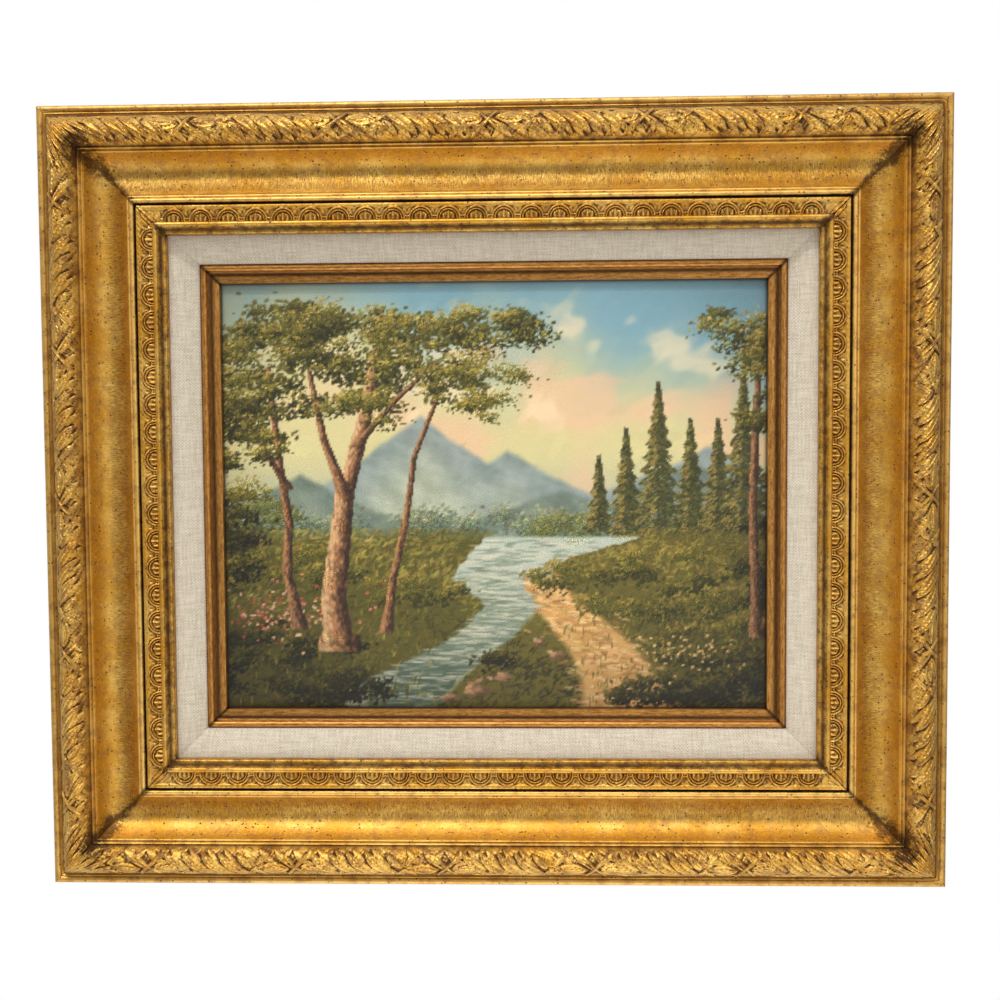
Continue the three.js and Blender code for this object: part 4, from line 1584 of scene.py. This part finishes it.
    def ridge_line(self, hills: HillRange) -> Array:
        """The skyline of a range.

        Args:
            hills: The range.

        Returns:
            A height for each column of the ground.
        """
        x = self.x[0]
        line = np.full_like(x, hills.base)
        for middle, rise, spread in hills.peaks:
            peak = np.clip(1.0 - np.abs(x - middle) / spread, 0.0, 1.0) ** 1.25
            line = np.maximum(line, hills.base + rise * peak)
        rng = np.random.default_rng(hills.seed)
        for wave in (0.12, 0.31, 0.7, 1.6):
            line = line + 0.55 / (wave * 4.0 + 0.6) * np.sin(wave * x + rng.uniform(0.0, 6.28))
        return line[None, :]

    def hills(self) -> None:
        """Two ranges that fade into haze at their feet."""
        for hills in self.ranges:
            line = self.ridge_line(hills)
            top, foot = np.array(hills.top), np.array(hills.foot)
            depth = smoothstep(line - self.z, 0.0, 34.0)[..., None]
            slope = 0.05 * self.cloud(16.0, hills.seed + 40)[..., None]
            self.blend(0.9 * smoothstep(line - self.z, -1.6, 2.2), mixed(top, foot, depth) + slope)
            for _ in range(260):
                x = self.rng.uniform(0.0, self.width)
                skyline = float(line[0, self.cell(x, 0.0)[1]])
                z = skyline - abs(self.rng.normal(0.0, 12.0)) - 1.0
                colour = self.tinted(mixed(top, foot, 0.4), 0.06)
                size = (self.rng.uniform(4.0, 9.0), 2.0)
                self.dab((x, z), size, self.rng.choice([-0.8, 0.7]), colour, 0.25, 0.02)

    def water(self) -> None:
        """A pale stream that winds from the far bank down to the lower left."""
        course = np.interp(self.z, self.stream_z, self.stream_x)
        half = np.interp(self.z, self.stream_z, self.stream_half)
        mask = smoothstep(half - np.abs(self.x - course) + 1.2 * self.cloud(9.0, 31), -0.8, 1.0)
        near, far = (np.array(tone) for tone in self.stream_tones)
        light = smoothstep(self.z, 6.0, 70.0)[..., None]
        self.blend(mask * smoothstep(self.z, 77.5, 75.5), mixed(near, far, light))
        for _ in range(700):
            z = self.rng.uniform(1.0, 75.0)
            middle, span = (float(np.interp(z, self.z[:, 0], line[:, 0])) for line in (course, half))
            x = middle + self.rng.uniform(-0.98, 0.9) * span
            self.stroke(self.ripple, x, z, self.ripple_tones[self.rng.random() < 0.5])

    def clump(self, x: float, z: float, half: Pair, count: int, tones: Tones, size: float) -> None:
        """A tuft of leaves or grass, dark at its foot and right and lighter at its upper left.

        Args:
            x: Its middle across.
            z: Its middle up.
            half: Half its width and half its height.
            count: How many strokes it has.
            tones: Its colours from dark to light.
            size: The length of a stroke.
        """
        wide, high = half
        last = len(tones) - 1
        spread = self.rng.normal(0.0, 0.5, (count, 2))
        order = np.argsort(0.9 * spread[:, 1] - 0.45 * spread[:, 0] + self.rng.normal(0.0, 0.2, count))
        for rank, index in enumerate(order):
            place = (x + wide * spread[index, 0], z + high * spread[index, 1])
            level = (rank / count) ** 1.3 * (last + 0.8)
            tone = tones[min(last, int(level + self.rng.uniform(-0.3, 0.3)))]
            angle = self.rng.uniform(-0.6, 1.2)
            length = size * self.rng.uniform(0.7, 1.5)
            self.dab(place, (length, 0.62 * length), angle, self.tinted(tone, 0.12), 0.85, 0.05)
        area = np.exp(-(((self.x - x) / wide) ** 2 + ((self.z - z) / high) ** 2) * 1.4)
        self.leafage = np.maximum(self.leafage, np.clip(1.4 * area - 0.3, 0.0, 1.0))

    def foliage(self, masses: Sequence[Mass], tones: Tones, size: float = 1.5) -> None:
        """Masses of tufts, the lower tufts of each laid first.

        Args:
            masses: The masses in order.
            tones: Their colours from dark to light.
            size: The length of a stroke.
        """
        for x, z, wide, high, tufts in masses:
            angle = self.rng.uniform(0.0, 2.0 * math.pi, tufts)
            reach = np.sqrt(self.rng.random(tufts))
            places = np.stack([x + wide * reach * np.cos(angle), z + high * reach * np.sin(angle)], axis=-1)
            for px, pz in places[np.argsort(places[:, 1])]:
                bright = (pz - z) / high - 0.4 * (px - x) / wide + self.rng.normal(0.0, 0.35)
                shown = tones[int(bright > 0.1) : len(tones) - int(bright <= -0.3)]
                tuft = self.rng.uniform(0.75, 1.25)
                self.clump(px, pz, (7.5 * tuft, 3.6 * tuft), int(62 * tuft), shown, size)

    def track(self, z: Array) -> Array:
        """The middle of the sandy bank at a height."""
        return 178.0 - 0.62 * z + 6.0 * np.sin(z / 14.0)

    def banks(self) -> None:
        """Meadow on both sides of the stream, with an ochre bank on the right."""
        left = smoothstep(np.interp(self.z, self.bank_z, self.left_bank) - self.x, -3.0, 3.0)
        right = smoothstep(self.x - np.interp(self.z, self.bank_z, self.right_bank), -3.0, 3.0)
        for side, tone in zip((left, right), self.bank_tones):
            self.blend(side * smoothstep(self.z, 82.0, 74.0), tone)
        dim, lit = (np.array(tone) for tone in self.turf_tones)
        for _ in range(5200):
            x, z = self.rng.uniform(0.0, self.width), 80.0 * self.rng.random()
            cell = self.cell(x, z)
            if max(left[cell], right[cell]) < 0.5:
                continue
            self.stroke(self.turf, x, z, mixed(dim, lit, z / 80.0 + 0.25 * math.sin(x / 17.0 + z / 7.0)))
        path = smoothstep(10.0 + 0.16 * (60.0 - self.z) - np.abs(self.x - self.track(self.z)), -2.0, 3.0)
        self.blend(path * smoothstep(self.z, 62.0, 52.0), self.sand_base)
        for _ in range(620):
            z = 60.0 * self.rng.random() ** 1.2
            x = float(self.track(z)) + self.rng.normal(0.0, 6.0 + 0.08 * (60.0 - z))
            self.stroke(self.sand, x, z, self.sand_tones[self.rng.integers(4)])

    def far_trees(self) -> None:
        """Soft trees along the far bank, and firs in front of them on the right."""
        for _ in range(34):
            x = self.rng.uniform(4.0, self.width - 4.0)
            self.clump(x, 82.0 + self.rng.normal(0.0, 2.4), (9.0, 5.5), 100, self.hazy, 1.7)
        self.foliage(self.far_woods, self.middle)
        for x, foot, high in self.firs:
            self.fir(x, foot, high)

    def fir(self, x: float, foot: float, high: float) -> None:
        """A fir with drooping tiers of boughs.

        Args:
            x: Its middle across.
            foot: Where it stands.
            high: Its height.
        """
        stem = (x, foot + 0.45 * high)
        self.dab(stem, (high, 1.1), math.pi / 2.0, np.array(self.fir_stem), 0.9, 0.05)
        for _ in range(int(26 * high)):
            t = self.rng.random() ** 0.75
            z = foot + 2.0 + (high - 2.0) * (1.0 - t)
            reach = 0.20 * high * t * (0.78 + 0.22 * math.sin(z * 1.15 + x))
            off = self.rng.uniform(-1.0, 1.0)
            lit = off < -0.15 and self.rng.random() < 0.5
            tone = self.fir_light if lit else self.fir_tones[self.rng.integers(2)]
            place = (x + off * reach, z - 0.3 * abs(off) * reach)
            angle = -0.5 if off > 0.0 else math.pi + 0.5
            self.dab(place, (2.3, 0.9), angle, self.tinted(tone, 0.12), 0.8, 0.05)
        half = 0.15 * np.clip(foot + high - self.z, 0.0, high) * (self.z > foot)
        inside = np.clip(2.0 - 2.0 * np.abs(self.x - x) / (half + 0.01), 0.0, 1.0)
        self.leafage = np.maximum(self.leafage, 0.6 * inside)

    def limb(self, limb: Limb) -> None:
        """Paints a trunk or bough, tapering and lit on its left.

        Args:
            limb: The trunk or bough.
        """
        path = np.array(limb.points, dtype=float)
        bark = self.bark[limb.bark :]
        strips = 3 * len(bark)
        steps = np.concatenate([[0.0], np.cumsum(np.hypot(*np.diff(path, axis=0).T))])
        for along in np.arange(0.0, steps[-1], 1.2):
            (x, next_x), (z, next_z) = (np.interp((along, along + 1.0), steps, line) for line in path.T)
            lean = math.atan2(next_z - z, next_x - x) or math.pi / 2.0
            wide = limb.start + (limb.stop - limb.start) * along / steps[-1]
            wide = wide + 0.7 * limb.start * math.exp(-along / 4.0)
            wide = wide * (1.0 + 0.07 * math.sin(0.9 * along + limb.start))
            for k in range(strips):
                off = wide * ((k + 0.5) / strips - 0.5)
                tone = bark[int(np.clip(k / 3.0 + self.rng.normal(0.0, 0.45), 0, len(bark) - 1))]
                rough = math.sin(1.7 * off + 0.35 * along) + self.rng.normal(0.0, 0.5)
                colour = self.tinted(np.array(tone) * (0.6 if rough > 1.2 else 1.0), 0.10)
                thick = max(0.7, 0.6 * wide / len(bark))
                self.dab((x + off, z), (5.2, thick), self.rng.normal(lean, 0.06), colour, 0.85, 0.05)

    def tall_trees(self) -> None:
        """Three slender trees on the left bank under a spreading crown, and one at the right edge."""
        self.limb(self.edge_tree)
        self.foliage([(*place, tufts // 2) for *place, tufts in self.crown], self.olive[:3], 1.8)
        for limb in self.trees:
            self.limb(limb)
        self.foliage(self.crown, self.olive, 1.4)
        self.foliage(self.sprays, self.olive[1:], 1.2)

    def rock(self, x: float, z: float, size: float) -> None:
        """A rock, lit at its upper left.

        Args:
            x: Its middle across.
            z: Its middle up.
            size: Its size.
        """
        stone, sunny = (np.array(tone) for tone in self.rock_tones)
        for _ in range(16):
            px, pz = x + self.rng.normal(0.0, 0.5 * size), z + self.rng.normal(0.0, 0.3 * size)
            light = 0.5 + (pz - z) / size - 0.5 * (px - x) / size + self.rng.normal(0.0, 0.15)
            colour = self.tinted(mixed(stone, sunny, np.clip(light, 0.0, 1.0)), 0.08)
            self.dab((px, pz), (0.8 * size, 0.35 * size), self.rng.normal(0.2, 0.3), colour, 0.9, 0.06)

    def foreground(self) -> None:
        """Bushes and grasses near the edges, rocks, and flowers on both banks."""
        self.foliage(self.meadow_bushes, self.meadow)
        for _ in range(560):
            x = self.rng.choice([self.rng.uniform(0.0, 96.0), self.rng.uniform(150.0, self.width)])
            z = self.rng.uniform(2.0, 50.0)
            self.stroke(self.grass, x, z, self.meadow[self.rng.integers(1, 4)])
        self.foliage(self.near_bushes, self.dark, 1.6)
        for x, z, size in self.rocks:
            self.rock(x, z, size)
        for _ in range(150):
            place = (26.0 + self.rng.normal(0.0, 16.0), 42.0 + self.rng.normal(0.0, 6.0))
            tone = self.rosy_flowers[self.rng.integers(3)]
            self.dab(place, (1.4, 1.2), 0.0, self.tinted(tone, 0.06), 0.95, 0.16)
        for _ in range(70):
            place = (206.0 + self.rng.normal(0.0, 13.0), 26.0 + self.rng.normal(0.0, 5.0))
            self.dab(place, (1.3, 1.1), 0.0, self.tinted(self.pale_flowers, 0.08), 0.9, 0.14)

    def glaze_and_edge_shade(self) -> None:
        """Warms the whole and darkens it towards its edges, most of all the lower corners, and paints shade
        in a narrow band along its border beside the slip.
        """
        h, v = self.x / self.width, self.z / self.height
        shade = 0.30 * smoothstep(np.hypot((h - 0.5) * 1.35, (v - 0.62) * 1.15), 0.45, 1.0)
        edge = np.minimum.reduce([self.x, self.width - self.x, self.z, self.height - self.z])
        # painted shade: a dark band along the border, where the canvas meets the slip
        shade = shade + 0.55 * smoothstep(edge, 1.8, 0.2)
        self.colour = np.clip(self.colour * np.array(self.warmth) * (1.0 - shade[..., None]), 0.0, 1.0)

    def paint(self) -> None:
        """Paints the picture from the back to the front."""
        self.sky()
        self.hills()
        self.far_trees()
        self.banks()
        self.water()
        self.foreground()
        self.tall_trees()
        self.glaze_and_edge_shade()


@dataclass
class PaintedCanvas:
    """The canvas, stretched over its bars with its edges turned in behind them."""

    setting: Setting
    edge_u: float = 67.3
    front_h: float = 21.0
    sight_u: float = 75.0
    sight_margin: float = 0.5
    grid: float = 0.7
    primer: float = 0.24
    thickest: float = 0.22
    border_drop: float = 0.26
    cloth: float = 0.55
    corner: float = 0.5
    turned_h: float = 5.25
    flap: float = 14.0
    flap_cloth: float = 0.45
    edge_gap: float = 0.05
    coarse: int = 24
    painted_rings: int = 4
    bare: tuple[float, ...] = (0.5, 0.4, 0.28, 1.0)

    def ring(self, u: float, h: float) -> Array:
        """Points round the canvas, anticlockwise from the lower left.

        Args:
            u: Their distance inwards.
            h: Their height.

        Returns:
            One row of x, y and z for each point.
        """
        sides = []
        for side in Side:
            end = self.setting.length(side) / 2.0 - u
            s = np.linspace(-end, end, self.coarse + 1)[:-1]
            sides.append(self.setting.place(side, s, np.full_like(s, u), np.full_like(s, h)))
        return np.concatenate(sides)

    def view(self) -> Landscape:
        """Paints what shows within the slip, with a little to spare."""
        hidden = 2.0 * self.sight_u - 2.0 * self.sight_margin
        across, up = self.setting.width - hidden, self.setting.height - hidden
        view = Landscape(across, up, round(across / self.grid), round(up / self.grid))
        view.paint()
        return view

    def build(self, finish: bpy.types.Material, back: bpy.types.Material) -> None:
        """Makes the canvas.

        Args:
            finish: The oil paint.
            back: The bare cloth behind it.
        """
        view = self.view()
        draft = MeshDraft("stretched_canvas")
        height = np.clip(view.relief - 0.02, 0.0, self.thickest)
        y = self.setting.y - self.front_h + (self.primer - height)
        x = self.setting.x + view.x - view.width / 2.0
        z = self.setting.z + view.z - view.height / 2.0
        paint = linear(np.clip(view.colour, 0.0, 1.0))
        rgba = np.concatenate([paint, np.ones((*view.x.shape, 1))], axis=-1).reshape(-1, 4)
        points = np.stack([x, y, z], axis=-1).reshape(-1, 3)
        front = draft.add_points(points, paint=rgba, leafage=view.leafage.ravel())
        index = front + np.arange(len(points)).reshape(view.x.shape)
        quads = np.stack([index[:-1, :-1], index[:-1, 1:], index[1:, 1:], index[1:, :-1]], axis=-1)
        draft.add_faces(quads.reshape(-1, 4))
        rings = self.add_rings(draft, rgba, view)
        self.join_border(draft, [index[0, :-1], index[:-1, -1], index[-1, :0:-1], index[:0:-1, 0]], rings[0])
        self.join_rings(draft, rings)
        piece = draft.build([finish, back], 50.0)
        settle(piece, "painted_canvas")
        self.declare()

    def declare(self) -> None:
        """Works out the sheet's flat size in metres, and does nothing more with it.
        """
        turned = 2.0 * (self.front_h - self.turned_h + self.flap)
        front = (size - 2.0 * self.edge_u for size in (self.setting.width, self.setting.height))
        flat = tuple((size + turned) * MM for size in front)

    def add_rings(self, draft: MeshDraft, rgba: Array, view: Landscape) -> list[int]:
        """Adds the points of the border under the slip, the turned sides, the flaps and the back.

        Args:
            draft: The canvas.
            rgba: The colours of the painted grid.
            view: The painting.

        Returns:
            The first point of each ring, from the painting to the middle of the back.
        """
        edge, inner = self.edge_u + self.edge_gap, self.edge_u + self.edge_gap + self.cloth
        border_h, back_h = self.front_h - self.border_drop, self.turned_h
        section = (
            (edge + self.corner, border_h),
            (edge + 0.15, border_h - 0.12),
            (edge, border_h - self.corner),
            (edge, back_h + 0.3),
            (edge + 0.3, back_h),
            (edge + self.flap, back_h),
            (edge + self.flap, back_h + self.flap_cloth),
            (inner, back_h + self.flap_cloth),
            (inner, border_h - self.cloth),
        )
        rings = []
        for k, (u, h) in enumerate(section):
            points = self.ring(u, h)
            colour = np.tile(np.array([self.bare]), (len(points), 1))
            if k < self.painted_rings:
                across = np.clip((points[:, 0] - self.setting.x) / view.width + 0.5, 0.0, 1.0)
                up = np.clip((points[:, 2] - self.setting.z) / view.height + 0.5, 0.0, 1.0)
                row = np.rint(up * view.rows).astype(int) * (view.columns + 1)
                colour = rgba[row + np.rint(across * view.columns).astype(int)]
            rings.append(draft.add_points(points, paint=colour, leafage=np.zeros(len(points))))
        return rings

    def join_border(self, draft: MeshDraft, border: list[Indices], first: int) -> None:
        """Joins the fine edge of the painting to the first ring, a face for each step of the ring.

        Args:
            draft: The canvas.
            border: The painting's edge points, side by side in turn.
            first: The first point of the ring.
        """
        n = self.coarse
        sizes = np.cumsum([0] + [len(b) for b in border])
        around = np.concatenate(border)
        for q in range(4):
            cuts = sizes[q] + np.rint(np.linspace(0, len(border[q]), n + 1)).astype(int)
            for c in range(n):
                fine = np.arange(cuts[c], cuts[c + 1] + 1) % sizes[4]
                outer = [first + (q * n + c) % (4 * n), first + (q * n + c + 1) % (4 * n)]
                draft.add_faces(np.concatenate([outer, around[fine][::-1]])[None, :])

    def join_rings(self, draft: MeshDraft, rings: list[int]) -> None:
        """Joins each ring to the next, the painted ones in paint, and closes the back.

        Args:
            draft: The canvas.
            rings: The first point of each ring.
        """
        step = np.arange(4 * self.coarse)
        following = np.roll(step, -1)
        for k, (a, b) in enumerate(zip(rings, rings[1:])):
            faces = np.stack([b + step, b + following, a + following, a + step], axis=-1)
            draft.add_faces(faces, 0 if k < self.painted_rings - 1 else 1)
        draft.add_faces((rings[-1] + step[::-1])[None, :], 1)


# ------------------------------------------------------------------ stretcher and fastenings


@dataclass
class BackFittings:
    """The stretcher, the hanger and the turn buttons, which keep the shapes of the fixed model."""

    nodes: dict[str, bpy.types.Object]

    def build(
        self, level: bpy.types.Material, upright: bpy.types.Material, steel: bpy.types.Material
    ) -> None:
        """Gives each of them its finish.

        Args:
            level: The wood of the level bars.
            upright: The wood of the upright bars.
            steel: The metal of the fastenings.
        """
        for side in Side:
            self.dress(f"stretcher_bar_{side.label}", level if side.level else upright)
            self.dress(f"turn_button_{side.label}", steel)
            self.dress(f"turn_button_screw_{side.label}", steel)
        for name in ("sawtooth_hanger", "hanger_nail_left", "hanger_nail_right"):
            self.dress(name, steel)

    def dress(self, name: str, finish: bpy.types.Material) -> None:
        """Puts a finish on one of the fixed model's solids.

        Args:
            name: The solid's name.
            finish: Its finish.
        """
        node = self.nodes[name]
        if not node.material_slots:
            node.data.materials.append(finish)
        for material_slot in node.material_slots:
            material_slot.material = finish
        log.info("%s: fixed solid with %s", name, finish.name)


# ------------------------------------------------------------------ camera, floor and light


@dataclass(frozen=True)
class Lamp:
    """A square lamp: its place from the picture's centre, its side in metres and its power in watts."""

    name: str
    place: tuple[float, float, float]
    size: float
    power: float
    tint: Colour = (1.0, 0.985, 0.96)

    def build(self, target: Vector) -> None:
        """Hangs it.

        Args:
            target: What it faces, in metres.
        """
        lamp = bpy.data.lights.new(self.name, "AREA")
        lamp.size = self.size
        lamp.energy = self.power
        lamp.color = self.tint
        holder = bpy.data.objects.new(self.name, lamp)
        holder.location = target + Vector(self.place) * MM
        holder.rotation_euler = (target - holder.location).to_track_quat("-Z", "Y").to_euler()
        bpy.context.scene.collection.objects.link(holder)


@dataclass
class Studio:
    """The pale floor, the soft lights and the camera.

    The camera's place is measured from the picture's centre, and its turn is in degrees. The light from
    round about is a base and a rise or fall along an axis for each direction.
    """

    setting: Setting
    camera_place: tuple[float, float, float] = (23.2, -601.6, 29.6)
    camera_turn: tuple[float, float, float] = (86.930, 0.380, 1.993)
    lens: float = 47.63
    sensor: float = 36.0
    floor_drop: float = 1400.0
    floor_size: float = 3.2
    floor_colour: tuple[float, ...] = (0.86, 0.86, 0.85, 1.0)
    lamps: tuple[Lamp, ...] = (
        Lamp("key", (-620.0, -1180.0, 1620.0), 1.1, 17.0),
        Lamp("sun", (-160.0, -1120.0, 1620.0), 0.06, 10.0),
        Lamp("fill", (900.0, -1500.0, 300.0), 1.4, 6.0),
        Lamp("low", (0.0, -250.0, -420.0), 0.5, 1.15),
    )
    base: float = 0.17
    above: Step = (-0.02, 0.95, 0.62)
    below: Step = (-0.02, -0.5, 0.16)
    leftward: Step = (0.5, 0.95, 0.36)
    rightward: Step = (0.05, 0.7, 0.14)

    def centre(self) -> Vector:
        """The picture's centre on its back plane, in metres."""
        return Vector((self.setting.x, self.setting.y, self.setting.z)) * MM

    def build_camera(self) -> None:
        """Places the camera."""
        camera = bpy.data.cameras.new("camera")
        camera.lens = self.lens
        camera.sensor_width = self.sensor
        camera.clip_start = 0.01
        eye = bpy.data.objects.new("camera", camera)
        eye.location = self.centre() + Vector(self.camera_place) * MM
        eye.rotation_euler = [math.radians(a) for a in self.camera_turn]
        bpy.context.scene.collection.objects.link(eye)
        bpy.context.scene.camera = eye

    def build_floor(self) -> None:
        """Lays the floor well below the hanging picture."""
        mesh = bpy.data.meshes.new("floor")
        half = self.floor_size / 2.0
        low = (self.setting.z - self.floor_drop) * MM
        corners = [(-half, -half, low), (half, -half, low), (half, half, low), (-half, half, low)]
        mesh.from_pydata(corners, [], [(0, 1, 2, 3)])
        floor = bpy.data.objects.new("floor", mesh)
        bpy.context.scene.collection.objects.link(floor)
        mesh.materials.append(Nodes.of("pale_floor").finished(Base_Color=self.floor_colour, Roughness=0.9))

    def build_world(self) -> None:
        """Surrounds it with soft light that comes mostly from above and the left, and is seen as white."""
        world = bpy.data.worlds.new("studio")
        world.use_nodes = True
        nodes = Nodes(world.node_tree)
        x, _, z = nodes.split(nodes.given("ShaderNodeTexCoord", "Generated"))
        sides = (x * -1.0).step(*self.leftward) + x.step(*self.rightward)
        soft = z.step(*self.above) + sides + z.step(*self.below) + self.base
        background = world.node_tree.nodes["Background"]
        nodes.plug((1.0, 1.0, 1.0, 1.0), background.inputs["Color"])
        nodes.plug(nodes.given("ShaderNodeLightPath", "Is Camera Ray") | soft, background.inputs["Strength"])
        bpy.context.scene.world = world
        bpy.context.scene.view_settings.view_transform = "Standard"

    def build(self) -> None:
        """Builds all of it."""
        self.build_camera()
        self.build_floor()
        for lamp in self.lamps:
            lamp.build(self.centre())
        self.build_world()
        log.info("studio: camera, floor, %d lamps and world", len(self.lamps))


def main() -> None:
    """Builds the classes in order."""
    logging.basicConfig(level=logging.INFO, format="%(name)s %(message)s")
    setting = Setting.of_rails()
    Studio(setting).build()
    CarvedFrame(setting).build(AntiqueGilt().build())
    LinenLiner(setting).build(WovenLinen().build())
    GiltSlip(setting).build(BronzeGilt().build())
    PaintedCanvas(setting).build(OilPaint().build(), RawCanvas().build())
    fittings = BackFittings(frame["nodes"])
    fittings.build(BarePine(True).build(), BarePine(False).build(), PlatedSteel().build())


if __name__ == "__main__":
    main()
